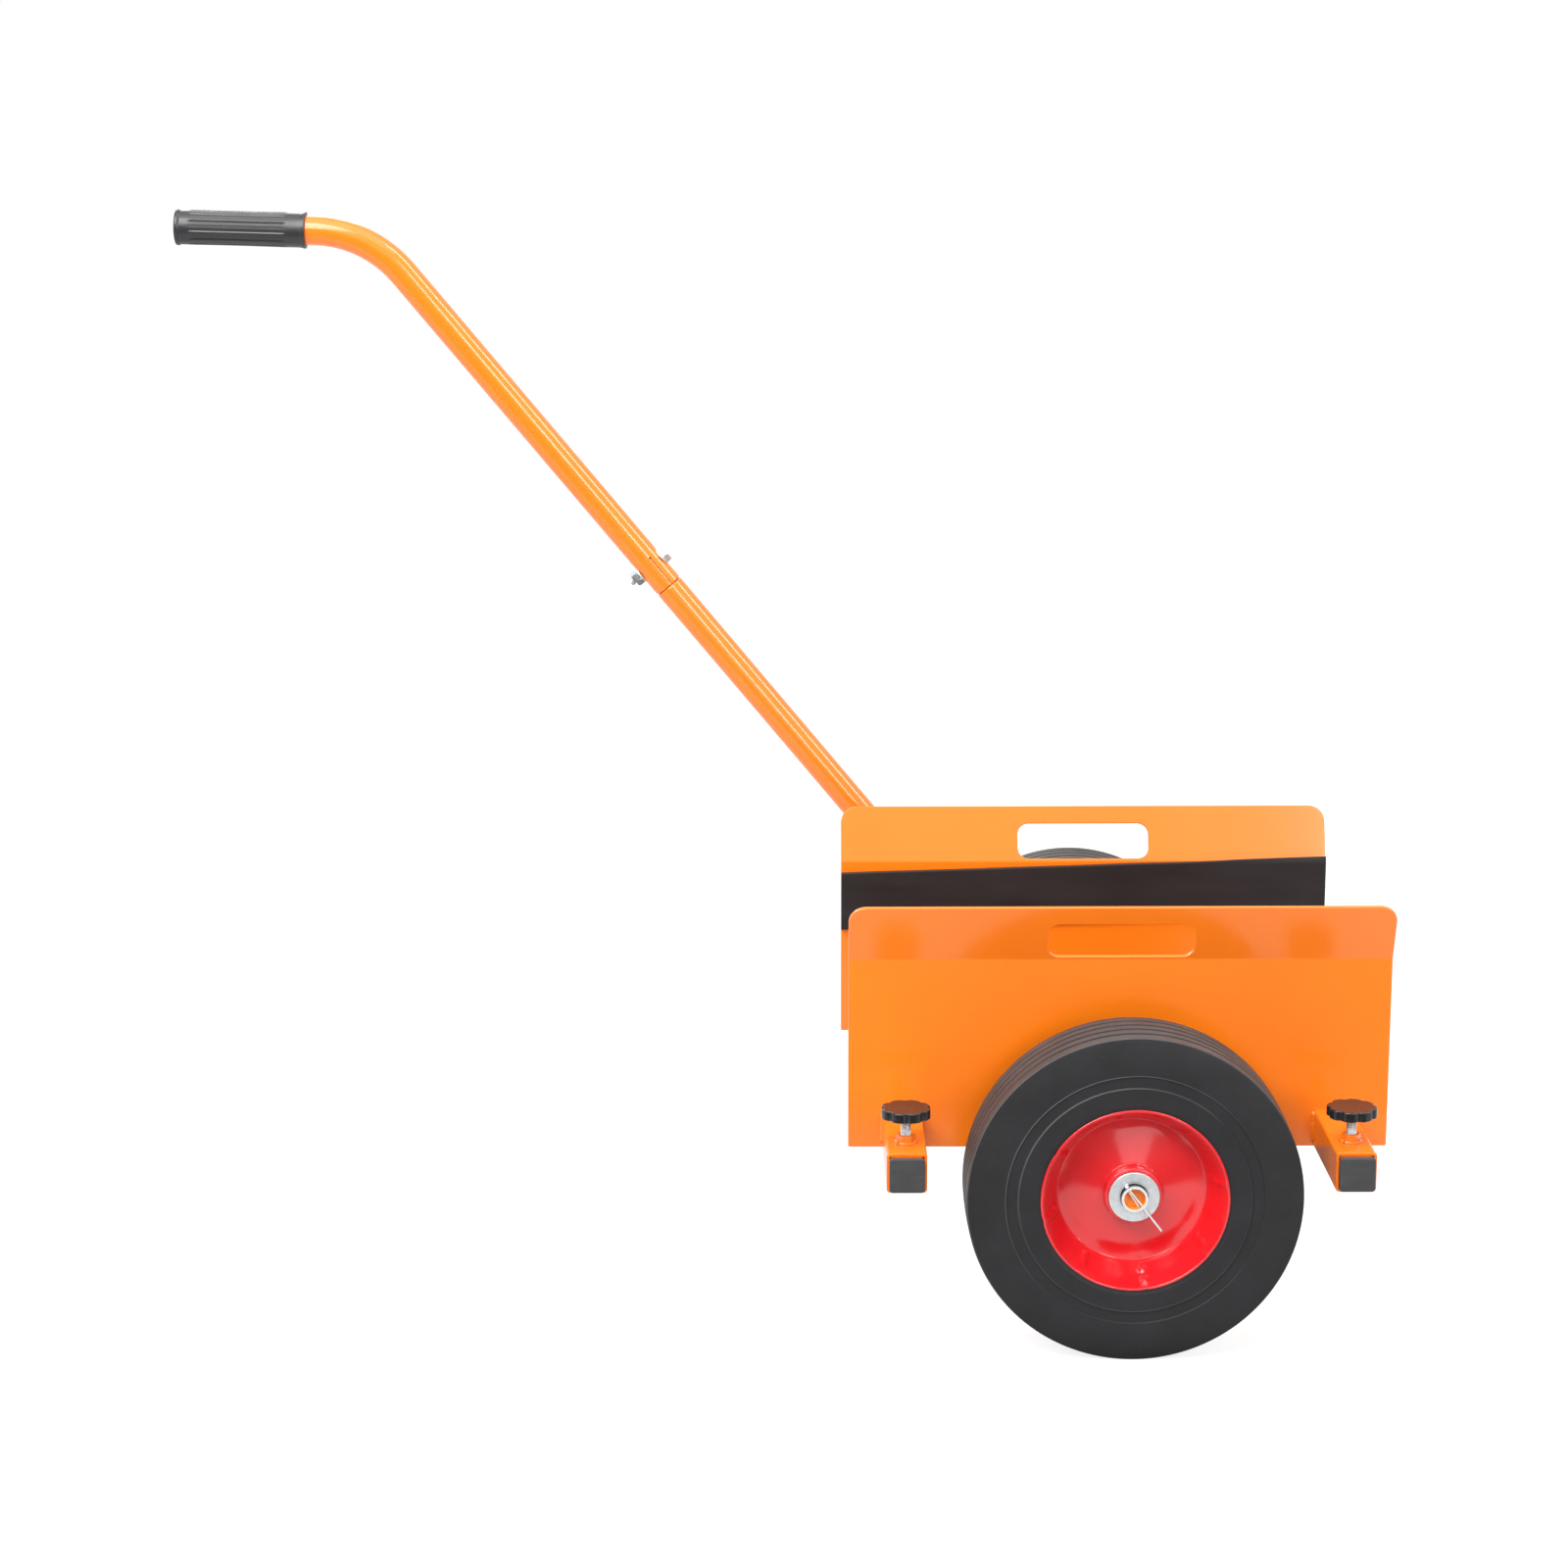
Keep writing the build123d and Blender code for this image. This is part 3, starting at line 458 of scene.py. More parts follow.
def axle_finish(name):
    """Near-black bar with bare cut ends and recesses in an orange lighter than the frame's, painted
    light against their shade.
    """
    # Painted light: the recess orange is lighter than the frame's paint, against the shade inside the
    # recess.
    made = paint(name, (1.0, 0.36, 0.03), (0.96, 0.33, 0.026), 0.15, 1.55)
    shader = made.node_tree.nodes["Principled BSDF"]
    painted = Signal(shader.inputs["Base Color"].links[0].from_socket)
    where = place(made.node_tree)
    across = split(signal("Normal", made.node_tree, "TexCoord"))[1]
    cut = ramp(abs(across), (0.85, 0.0), (0.95, 1.0))
    bright = mottled(clouds(where, 700.0), (0.62, 0.63, 0.64), (0.80, 0.81, 0.82))
    dark = mottled(clouds(where, 300.0), (0.020, 0.021, 0.023), (0.035, 0.036, 0.039))
    outside = ramp(axle_distance(where) / (20 * mm), (0.406, 0.0), (0.412, 1.0))
    feed(shader, {"Base Color": blend(outside, painted, blend(cut, dark, bright))})
    return made


FINISH = {
    "orange_paint": paint("orange powder coat", (0.93, 0.206, 0.008), (0.90, 0.189, 0.006), 0.15, 1.55),
    "red_paint": rim_finish("red gloss paint"),
    "tyre_rubber": tyre_rubber("solid tyre rubber"),
    "pad_rubber": soft_rubber(
        "pad rubber", (0.013, 0.011, 0.011), (0.021, 0.018, 0.019), 0.44, (0.15, 1, 1), 0.25),
    "grip_rubber": soft_rubber(
        "grip rubber", (0.022, 0.022, 0.024), (0.031, 0.031, 0.033), 0.36, (0.2, 1, 1), 0.5),
    "black_plug": plastic("plug plastic", (0.036, 0.036, 0.038), (0.048, 0.048, 0.050), 0.5),
    "black_knob": plastic("knob plastic", (0.010, 0.010, 0.011), (0.016, 0.016, 0.018), 0.16),
    "zinc_steel": metal("bright zinc", (0.74, 0.78, 0.81), (0.88, 0.92, 0.94), 0.36, 260.0),
    "bearing_steel": metal("ground steel", (0.50, 0.50, 0.52), (0.66, 0.66, 0.68), 0.18, 500.0),
}
AXLE_FINISH = axle_finish("axle paint")
BOLT_FINISH = metal("dull zinc", (0.66, 0.69, 0.70), (0.80, 0.83, 0.84), 0.46, 300.0)
NUT_FINISH = metal("clean zinc", (0.60, 0.63, 0.65), (0.74, 0.77, 0.79), 0.26, 300.0)
# Painted shade: the neck seen through the slit is dark brown, so that the seam reads dark.
NECK_PAINTED_SHADE = metal("neck in painted shade", (0.26, 0.085, 0.03), (0.38, 0.13, 0.045), 0.5, 300.0)


# Mesh helpers: a part is a pair of vertices and faces


def around(count):
    """Angles of evenly spaced points on a circle."""
    return np.linspace(0, 2 * pi, count, endpoint=False)


def lifted(outline, height):
    """Flat outline at a height."""
    return np.c_[outline, np.full(len(outline), height)]


def polar(reach, turns, height):
    """Points at angles about the local z axis and distances from it."""
    return lifted(np.c_[reach * np.cos(turns), reach * np.sin(turns)], height)


def rectangle(first, last):
    """Four corners from two opposite ones."""
    return [first, (last[0], first[1]), last, (first[0], last[1])]


def softened(edge, thickness):
    """Insets and levels from one rounded edge of a thickness to the other."""
    turns = np.linspace(0, pi / 2, 4)
    first = [(edge * (1 - sin(turn)), edge * (1 - cos(turn))) for turn in turns]
    return first + [(inset, thickness - level) for inset, level in first[::-1]]


def skin(rings, loop=False, caps=True):
    """Skin through rings with equal counts of points; loop joins the last ring to the first."""
    rings = np.asarray(rings, float)
    rows, count = rings.shape[:2]
    faces = []
    for row in range(rows if loop else rows - 1):
        low = row * count
        high = (row + 1) % rows * count
        for here in range(count):
            beside = (here + 1) % count
            faces.append((low + here, low + beside, high + beside, high + here))
    if caps and not loop:
        faces.append(tuple(range(count - 1, -1, -1)))
        faces.append(tuple(range((rows - 1) * count, rows * count)))
    return rings.reshape(-1, 3), faces


def moved(part, matrix):
    verts, faces = part
    turn = np.array(matrix.to_3x3())
    return verts @ turn.T + np.array(matrix.translation), faces


def axes(origin, z_axis, x_axis):
    """Matrix of a frame with its origin, z axis and x axis given."""
    z_axis = Vector(z_axis).normalized()
    x_axis = Vector(x_axis).normalized()
    y_axis = z_axis.cross(x_axis)
    made = Matrix((x_axis, y_axis, z_axis)).transposed().to_4x4()
    made.translation = Vector(origin)
    return made


def rounded(corners, radii, steps=5):
    """Closed outline whose corners are arcs."""
    corners = [np.array(corner, float) for corner in corners]
    line = []
    for number, radius in enumerate(np.broadcast_to(radii, len(corners))):
        here = corners[number]
        back = corners[number - 1] - here
        ahead = corners[(number + 1) % len(corners)] - here
        lengths = np.linalg.norm(back), np.linalg.norm(ahead)
        back, ahead = back / lengths[0], ahead / lengths[1]
        half = acos(np.clip(back @ ahead, -1, 1)) / 2
        if radius <= 0 or half > pi / 2 - 0.01:
            line.append(here)
            continue
        reach = min(radius / tan(half), 0.49 * min(lengths))
        middle = (back + ahead) / np.linalg.norm(back + ahead)
        centre = here + middle * reach / cos(half)
        first = here + back * reach - centre
        last = here + ahead * reach - centre
        turn = pi - 2 * half
        for share in np.linspace(0, 1, steps + 1):
            spoke = sin((1 - share) * turn) * first + sin(share * turn) * last
            line.append(centre + spoke / sin(turn))
    return np.array(line)


def densified(outline, step):
    """Closed outline with points added so that no edge is longer than the step."""
    line = []
    for here, ahead in zip(outline, np.roll(outline, -1, axis=0)):
        pieces = max(1, int(np.ceil(np.linalg.norm(ahead - here) / step)))
        line += [here + (ahead - here) * share / pieces for share in range(pieces)]
    return np.array(line)


def lathe(profile, count=96):
    """Revolve a closed outline of (height, radius) about the local z axis."""
    return skin([polar(radius, around(count), height) for height, radius in profile], loop=True)


def ring_part(low, high, bore, radius, edge):
    """Turned ring with softened edges."""
    return lathe(rounded(rectangle((low, bore), (high, radius)), edge, 3))


def square_ring(size, corner, height):
    half = size / 2
    return lifted(rounded(rectangle((-half, -half), (half, half)), corner, 6), height)


def square_tube(size, length, edge=0.35 * mm):
    """Square tube from z = 0 to z = length with softened ends."""
    rings = [square_ring(size - 2 * inset, TUBE_CORNER - inset, level)
             for inset, level in softened(edge, length)]
    inner = max(TUBE_CORNER - TUBE_WALL, TUBE_CORNER / 4)
    rings += [square_ring(size - 2 * TUBE_WALL, inner, level) for level in (length, 0)]
    return skin(rings, loop=True)


def square_plug(size, lip=0.0, edge=1.0 * mm, dome=0.35 * mm):
    """Tube plug: a softly domed head below z = 0, wider than the tube by a lip, and a stem above it."""
    bore = size - 2 * TUBE_WALL - PLUG_GAP
    rings = [square_ring(bore, TUBE_CORNER / 4, level) for level in (PLUG_STEM, 0)]
    size += 2 * lip
    rings.append(square_ring(size, TUBE_CORNER, 0))
    for turn in np.linspace(0, pi / 2, 5):
        inset = edge * (1 - cos(turn))
        level = -PLUG_HEAD + edge * (1 - sin(turn))
        rings.append(square_ring(size - 2 * inset, TUBE_CORNER - inset / 2, level))
    for share in (0.8, 0.5, 0.2):
        level = -PLUG_HEAD - dome * (1 - share)
        rings.append(square_ring(share * (size - 2 * edge), share * TUBE_CORNER, level))
    return skin(rings)


def threaded(radius, length, chamfer=0.6 * mm, count=40):
    """Threaded rod from z = 0 to z = length, with its far end chamfered."""
    depth = 0.6 * THREAD_PITCH
    turns = around(count)
    rings = []
    for height in np.arange(0, length + 1e-9, THREAD_PITCH / 8):
        phase = (height / THREAD_PITCH - turns / (2 * pi)) % 1.0
        reach = radius - depth * np.abs(2 * phase - 1)
        end_limit = radius - max(0.0, chamfer - (length - height))
        rings.append(polar(np.minimum(reach, end_limit), turns, height))
    return skin(rings)


def hexagon_body(height, bore=0.0, below=True, count=96):
    """Nut or bolt head on z = 0 with turned corners at the top and, for a nut, below."""
    turns = around(count)
    hexagon = NUT_FLATS / 2 / np.cos((turns % (pi / 3)) - pi / 6)
    corner = NUT_FLATS / 2 / cos(pi / 6)
    wide = NUT_FLATS / 2 + 0.1 * mm
    narrow = NUT_FLATS / 2 - 0.1 * mm
    bevel = 0.9 * mm
    rim = 0.08 * mm
    limits = [(narrow, 0)] if below else []
    limits += [(wide if below else corner, rim), (corner, bevel), (corner, height - bevel)]
    limits += [(wide, height - rim), (narrow, height)]
    rings = [polar(np.minimum(hexagon, limit), turns, level) for limit, level in limits]
    if bore:
        rings += [polar(bore, turns, level) for level in (height, 0)]
    return skin(rings, loop=bool(bore))


def weld(points, radius, closed=False, seed=0):
    """Rippled weld bead along a line of points."""
    points = [Vector(point) for point in points]
    if closed:
        points.append(points[0])
    stations = []
    for here, ahead in zip(points, points[1:]):
        pieces = max(1, round((ahead - here).length / WELD_STEP))
        stations += [here.lerp(ahead, share / pieces) for share in range(pieces)]
    if not closed:
        stations.append(points[-1])
    count = len(stations)
    rings = []
    for number, here in enumerate(stations):
        ahead = stations[(number + 1) % count] if closed or number + 1 < count else here
        back = stations[number - 1] if closed or number else here
        along = (ahead - back).normalized()
        across = along.orthogonal().normalized()
        other = along.cross(across)
        ripple = 0.88 + 0.16 * abs(sin(pi * number * WELD_STEP / WELD_RIPPLE))
        lump = 0.16 * noise.noise(here * WELD_LUMPS + Vector((seed, 0, 0)))
        from_end = count if closed else min(number, count - 1 - number)
        taper = sqrt(max(0.02, min(1.0, from_end / 3)))
        reach = radius * (ripple + lump) * taper
        rings.append([here + (across * cos(turn) + other * sin(turn)) * reach
                      for turn in around(WELD_POINTS)])
    return skin(np.array(rings), loop=closed)


def piece(name, parts, slot, body, *nodes, smooth=40, finish=None):
    """Mesh object of one or more parts that rides on a body and stands for CAD nodes."""
    verts, faces = [], []
    for part_verts, part_faces in parts:
        start = len(verts)
        verts += np.asarray(part_verts).tolist()
        faces += [tuple(start + index for index in face) for face in part_faces]
    mesh = bpy.data.meshes.new(name)
    mesh.from_pydata(verts, [], faces)
    work = bmesh.new()
    work.from_mesh(mesh)
    bmesh.ops.remove_doubles(work, verts=work.verts, dist=1e-7)
    bmesh.ops.recalc_face_normals(work, faces=work.faces)
    work.to_mesh(mesh)
    work.free()
    mesh.shade_smooth()
    mesh.set_sharp_from_angle(angle=radians(smooth))
    mesh.materials.append(finish or FINISH[slot])
    made = bpy.data.objects.new(name, mesh)
    bpy.context.scene.collection.objects.link(made)
    weighted = made.modifiers.new("flat faces stay flat", "WEIGHTED_NORMAL")
    weighted.keep_sharp = True
    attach(made, body)
    if nodes:
        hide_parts(*nodes)
    return made


def dress(node_name, *parts, **look):
    """Piece that stands for a CAD node, in that node's slot and on its body."""
    return piece(f"{node_name}_detail", parts, SLOTS[node_name], BODIES[node_name], node_name, **look)


# Wheels


def wheel_frame(side):
    """Frame of a wheel: z points outboard along the axle."""
    return axes((0, side * WHEEL_STATION, AXLE_HEIGHT), (0, side, 0), X_AXIS)


def cone_back(axial):
    """Radius of the rim cone's tyre side at a distance from the wheel's middle plane."""
    rise = RIM_RADIUS - CREASE_RADIUS
    run = RIM_HALF - RIM_SHEET
    sheet_across = RIM_SHEET * sqrt(rise ** 2 + run ** 2) / run
    return CREASE_RADIUS + sheet_across + (axial - RIM_SHEET) * rise / run


def tread_radius(axial):
    return WHEEL_RADIUS - CROWN * (axial / TREAD_HALF) ** 2


def tyre_profile():
    """Closed outline of (axial, radius) with grooves, shoulders and the sunken sidewall rings."""
    shoulder = tread_radius(TREAD_HALF)
    line = [(-TREAD_HALF, shoulder, TREAD_EDGE)]
    pitch = 2 * TREAD_HALF / (GROOVES + 1)
    for number in range(GROOVES):
        station = (number + 1) * pitch - TREAD_HALF
        for shift, drop, edge in ((-0.5, 0, 0.6), (-0.36, 1, 0.5), (0.36, 1, 0.5), (0.5, 0, 0.6)):
            axial = station + shift * GROOVE_WIDTH
            line.append((axial, tread_radius(axial) - drop * GROOVE_DEPTH, edge * mm))
    line.append((TREAD_HALF, shoulder, TREAD_EDGE))
    wall = []
    for share in np.linspace(0, 1, 9)[1:]:
        swell = 4 * SIDEWALL_SWELL * share * (1 - share)
        axial = TREAD_HALF + share * (TYRE_HALF - TREAD_HALF) + swell
        wall.append((axial, shoulder + share * (RING_OUTER - shoulder), 0.25 * mm))
    sunk = TYRE_HALF - RING_DEPTH
    proud = TYRE_HALF + RING_BEAD
    seat = RIM_HALF - 1.2 * mm
    wall += [
        (proud, RING_OUTER - BEAD_INSET, 0.2 * mm),
        (sunk, RING_OUTER - RING_DEPTH, 0.3 * mm),
        (sunk, RING_INNER + RING_DEPTH, 0.3 * mm),
        (proud, RING_INNER + BEAD_INSET, 0.2 * mm),
        (TYRE_HALF, RING_INNER - 0.4 * mm, 0.25 * mm),
        (TYRE_HALF - 0.3 * mm, cone_back(RIM_HALF) + 3.0 * mm, 2.0 * mm),
        (seat, cone_back(seat) + TYRE_GAP, 0.4 * mm),
    ]
    other_wall = [(-axial, radius, edge) for axial, radius, edge in wall[::-1]]
    line += [*wall, (0, cone_back(0) + TYRE_GAP, 0), *other_wall]
    return rounded([point[:2] for point in line], [point[2] for point in line], 4)


def rim_profile():
    """Closed outline of (axial, radius) of a rim half: rolled lip, cone, crease, dish, hub hole."""
    hub = HUB_RADIUS + HALVES_GAP
    face, back = [], []
    for share in np.linspace(0, 1, 25):
        radius = CREASE_RADIUS + share * (hub - CREASE_RADIUS)
        rise = share ** 2 / (2 * DISH_BEND) if share < DISH_BEND else share - DISH_BEND / 2
        lift = RIM_SHEET + (DISH_FACE - RIM_SHEET) * rise / (1 - DISH_BEND / 2)
        face.append((lift, radius))
        back.append((lift - RIM_SHEET + HALVES_GAP, radius))
    lip = np.array((RIM_HALF, RIM_RADIUS))
    crease = np.array(face[0])
    cone = [tuple(lip + share * (crease - lip)) for share in np.linspace(0, 1, 15)[:-1]]
    corners = cone + face + back[:0:-1]
    corners += [(HALVES_GAP, cone_back(HALVES_GAP)), (RIM_HALF, cone_back(RIM_HALF))]
    radii = [0.0] * len(corners)
    radii[0] = RIM_LIP_ROUND
    radii[len(cone)] = CREASE_ROUND
    radii[-1] = RIM_BACK_ROUND
    return rounded(corners, radii, 5)


def rim_part():
    """Rim half with a wavering crease and small press marks around the cone."""
    verts, faces = lathe(rim_profile(), WHEEL_POINTS)
    shaped = []
    for x, y, axial in verts:
        radius = sqrt(x * x + y * y)
        turn = np.arctan2(y, x)
        near_crease = np.exp(-((radius - CREASE_RADIUS) / (7 * mm)) ** 2)
        unevenness = noise.noise(Vector((3 * cos(turn), 3 * sin(turn), 0)))
        axial += near_crease * (0.35 * sin(8 * turn + 0.6) + 0.5 * unevenness) * mm
        on_cone = radius > CREASE_RADIUS + 2 * mm
        for number in range(DENTS if on_cone else 0):
            jitter = noise.noise(Vector((number * 1.7, 0.3, 0)))
            centre = DENT_TURN + 2 * pi * number / DENTS + 0.12 * jitter
            gap = (turn - centre + pi) % (2 * pi) - pi
            along = radius - (RIM_RADIUS + CREASE_RADIUS) / 2
            fold = np.exp(-(gap * radius / DENT_WIDTH) ** 2 - (along / DENT_LENGTH) ** 2)
            uneven = 1 + jitter + 0.5 * sin(2 * pi * along / (5 * mm) + 9 * jitter)
            if number == DEEP_DENT:
                uneven *= DEEP_DENT_SHARE
            inward = DENT_DEPTH * uneven * fold / radius
            x, y = x * (1 - inward), y * (1 - inward)
        shaped.append((x, y, axial))
    return np.array(shaped), faces


def build_wheels():
    rim = rim_part()
    tyre = lathe(tyre_profile(), WHEEL_POINTS)
    turned_over = Matrix.Rotation(pi, 4, "X")
    for name, side in SIDES.items():
        here = wheel_frame(side)
        dress(f"{name}_tyre", moved(tyre, here), smooth=50)
        for half, turned in (("outer", here), ("inner", here @ turned_over)):
            dress(f"{name}_rim_{half}", moved(rim, turned), smooth=60)
        low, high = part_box(f"{name}_hub")
        reach = (high.y - low.y) / 2
        parts = [ring_part(-reach, reach, HUB_BORE, HUB_RADIUS, HUB_EDGE)]
        for face in (DISH_FACE, -DISH_FACE):
            path = polar(HUB_RADIUS + HUB_BEAD_SHIFT, around(120), face)
            parts.append(weld(path, HUB_BEAD, closed=True, seed=3))
        dress(f"{name}_hub", *[moved(part, here) for part in parts])
        for end in ("outer", "inner"):
            build_washer(f"{name}_{end}_washer", side)


def build_washer(node_name, side):
    """Wheel washer with softened edges."""
    low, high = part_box(node_name)
    start = min(abs(low.y), abs(high.y)) - WHEEL_STATION
    end = start + high.y - low.y
    part = ring_part(start, end, WASHER_BORE, (high.x - low.x) / 2, WASHER_EDGE)
    dress(node_name, moved(part, wheel_frame(side)))


# Jaws


def bent(up, offset):
    """Place across the jaw and height, for a distance up the sheet from the crease."""
    if up <= -BEND_REACH:
        return offset, CREASE_HEIGHT + up
    radius = BEND_RADIUS - offset
    turn = FLARE_ANGLE * min(1.0, (up + BEND_REACH) / (2 * BEND_REACH))
    across = BEND_RADIUS - radius * cos(turn)
    height = CREASE_HEIGHT - BEND_REACH + radius * sin(turn)
    past = max(0.0, up - BEND_REACH)
    return across + past * sin(turn), height + past * cos(turn)


def jaw_point(side, along, up, offset):
    """Point of a jaw: along the cart, up the sheet from the crease, outward from the inner face."""
    across, height = bent(up, offset)
    inner_face = FIXED_JAW_Y if side > 0 else MOVING_JAW_Y
    return Vector((JAW_X + along, inner_face + side * across, height))


def plate_outlines(arm_hole, inset):
    """Outer outline and holes of the flat sheet, drawn in by an inset."""
    half = PLATE_WIDTH / 2 - inset
    corner = CORNER_RADIUS - inset
    outer = rectangle((-half, inset - UPRIGHT), (half, FLARE - inset))
    reach = HOLE_LENGTH / 2 + inset
    hole = rectangle((-reach, HOLE_LOW - inset), (reach, HOLE_HIGH + inset))
    outlines = [
        rounded(outer, [FOOT_RADIUS, FOOT_RADIUS, corner, corner], 10),
        rounded(hole, HOLE_RADIUS + inset, 10),
    ]
    side = arm_hole / 2 + inset
    for node_name in ("arm_left", "arm_right"):
        low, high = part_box(node_name)
        middle = (low.x + high.x) / 2 - JAW_X
        up = (low.z + high.z) / 2 - CREASE_HEIGHT
        corners = rectangle((middle - side, up - side), (middle + side, up + side))
        outlines.append(rounded(corners, ARM_HOLE_RADIUS, 3))
    return outlines


def plate_part(side, arm_hole, edge=0.5 * mm):
    """Jaw plate with softened edges, made flat and then bent."""
    stations = softened(edge, SHEET)
    layers = [plate_outlines(arm_hole, inset) for inset, _ in stations]
    work = bmesh.new()
    for outlines in zip(*layers):
        rings = [lifted(outline, depth) for outline, (_, depth) in zip(outlines, stations)]
        verts, faces = skin(rings, caps=False)
        made = [work.verts.new(vert) for vert in verts]
        for face in faces:
            work.faces.new([made[index] for index in face])
    for depth in (0.0, SHEET):
        rim = [line for line in work.edges
               if line.is_boundary and all(abs(vert.co.z - depth) < 1e-7 for vert in line.verts)]
        bmesh.ops.triangle_fill(work, use_beauty=True, edges=rim)
    for up in np.linspace(-BEND_REACH, BEND_REACH, 7):
        geometry = [*work.verts, *work.edges, *work.faces]
        bmesh.ops.bisect_plane(work, geom=geometry, plane_co=(0, up, 0), plane_no=Y_AXIS)
    work.verts.index_update()
    verts = [jaw_point(side, *vert.co) for vert in work.verts]
    faces = [[vert.index for vert in face.verts] for face in work.faces]
    work.free()
    return verts, faces


def pad_part(side, tilt):
    """Rubber strip: rounded front edges, a slightly uneven face and hand-cut edges."""
    corners = rectangle((0, 0), (-PAD_THICKNESS, PAD_HEIGHT))
    edges = [PAD_BACK_EDGE, PAD_EDGE, PAD_EDGE, PAD_BACK_EDGE]
    section = densified(rounded(corners, edges, 4), 2.0 * mm)
    half = PLATE_WIDTH / 2
    ends = [(-half, 0.9), (-half + 0.3 * mm, 0.3), (-half + 0.9 * mm, 0.0)]
    middles = [(along, 0.0) for along in np.linspace(-half + 4 * mm, half - 4 * mm, 90)]
    other_ends = [(-along, draw) for along, draw in ends[::-1]]
    rings = []
    for along, draw in [*ends, *middles, *other_ends]:
        foot = -PAD_DROP - PAD_HEIGHT + tan(tilt) * along
        foot += 0.35 * mm * noise.noise(Vector((along * 14, side, 0)))
        ring = []
        for offset, up in section:
            front = -offset / PAD_THICKNESS
            ripple = 0.14 * mm * front * noise.noise(Vector((along * 20, up * 60, side * 7)))
            depth = min(-0.02 * mm, offset + ripple + front * draw * mm)
            ring.append(jaw_point(side, along, foot + up, depth))
        rings.append(ring)
    return skin(np.array(rings))


def build_jaws():
    low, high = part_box("arm_left")
    arm_size = high.x - low.x
    jaws = (("fixed", 1, FIXED_ARM_GAP, FIXED_PAD_TILT), ("moving", -1, SLIDING_ARM_GAP, 0))
    for name, side, gap, _ in jaws:
        dress(f"{name}_plate", plate_part(side, arm_size + gap))
    for name, side, _, tilt in jaws:
        pad = dress(f"{name}_pad", pad_part(side, tilt), smooth=60)


# Square tubes, plugs and clamps


def tube_frame(node_name):
    """Frame at the low end of a tube that runs along X or Y, with its size and length."""
    low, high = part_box(node_name)
    middle = (low + high) / 2
    extent = high - low
    if extent.y > extent.x:
        return axes((middle.x, low.y, middle.z), Y_AXIS, X_AXIS), extent.x, extent.y
    return axes((low.x, middle.y, middle.z), X_AXIS, Y_AXIS), extent.y, extent.x


def build_tubes():
    for node_name in ("arm_left", "arm_right", "axle_beam", "rear_beam", "sleeve_left", "sleeve_right"):
        here, size, length = tube_frame(node_name)
        dress(node_name, moved(square_tube(size, length), here))


def build_plugs():
    arm_plugs = []
    for node_name in ("arm_left", "arm_right"):
        here, size, _ = tube_frame(node_name)
        arm_plugs.append(moved(square_plug(size, ARM_PLUG_LIP), here))
    dress("arm_plugs", *arm_plugs)
    here, size, length = tube_frame("rear_beam")
    far_end = here @ Matrix.Translation((0, 0, length)) @ Matrix.Rotation(pi, 4, "X")
    dress("rear_beam_plugs", *[moved(square_plug(size), end) for end in (here, far_end)])


def knob_part(radius, height, turn):
    """Clamp knob: recessed underside, lobed sides, rounded rim and a slightly hollow top."""
    turns = around(240)
    from_notch = ((turns - turn) * KNOB_LOBES / (2 * pi) + 0.5) % 1 - 0.5
    notch = KNOB_NOTCH * np.exp(-(from_notch / 0.17) ** 2)
    outline = [
        (KNOB_NECK, 0.0, 0),
        (KNOB_NECK + 0.4 * mm, 1.6 * mm, 0),
        (radius - 3.2 * mm, 1.8 * mm, 0.6),
        (radius - 2.6 * mm, 0.2 * mm, 0.8),
        (radius - 0.5 * mm, 0.0, 1),
        (radius, 0.5 * mm, 1),
    ]
    for angle in np.linspace(0, pi / 2, 6):
        inset = KNOB_EDGE * (1 - cos(angle))
        outline.append((radius - inset, height - KNOB_EDGE + KNOB_EDGE * sin(angle), 1))
    brim = 0.93
    for share in (brim, 0.86, 0.6, 0.3, 0.05):
        sink = KNOB_HOLLOW * (1 - (share / brim) ** 2)
        outline.append((share * (radius - KNOB_EDGE), height - sink, share ** 6))
    return skin([polar(reach - depth * notch, turns, level) for reach, level, depth in outline])


def build_clamps():
    for name, turn in KNOB_TURNS.items():
        knob, stud, nut = f"knob_{name}", f"knob_stud_{name}", f"clamp_nut_{name}"
        low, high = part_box(knob)
        x, y = (low.x + high.x) / 2, (low.y + high.y) / 2
        part = knob_part((high.x - low.x) / 2, high.z - low.z, turn)
        dress(knob, moved(part, Matrix.Translation((x, y, low.z))))
        low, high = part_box(stud)
        part = threaded((high.x - low.x) / 2, high.z - low.z)
        dress(stud, moved(part, axes((x, y, high.z), (0, 0, -1), X_AXIS)))
        low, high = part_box(nut)
        path = polar(NUT_FLATS / 2 + NUT_BEAD_SHIFT, around(60), NUT_BEAD_SHIFT)
        seam = weld(path, NUT_BEAD, closed=True, seed=len(name))
        here = Matrix.Translation((x, y, low.z))
        dress(nut, *[moved(part, here) for part in (hexagon_body(high.z - low.z, NUT_BORE), seam)])


# Handle

HANDLE_LOW, HANDLE_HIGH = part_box("handle_lower_tube")
HANDLE_Y = (HANDLE_LOW.y + HANDLE_HIGH.y) / 2
HANDLE_RADIUS = (HANDLE_HIGH.y - HANDLE_LOW.y) / 2
HANDLE_BORE = HANDLE_RADIUS - TUBE_WALL
NECK_RADIUS = HANDLE_BORE - 0.05 * mm
HANDLE_AXIS = Vector((-cos(HANDLE_SLOPE), 0, sin(HANDLE_SLOPE)))
FOOT_REACH = HANDLE_RADIUS / sin(HANDLE_SLOPE)
HANDLE_FOOT = Vector((HANDLE_HIGH.x - FOOT_REACH, HANDLE_Y, HANDLE_LOW.z))
GRIP_AXIS = Vector((-cos(GRIP_TILT), 0, sin(GRIP_TILT)))
JOINT = HANDLE_FOOT + HANDLE_AXIS * LOWER_RUN
CORNER = JOINT + HANDLE_AXIS * UPPER_RUN

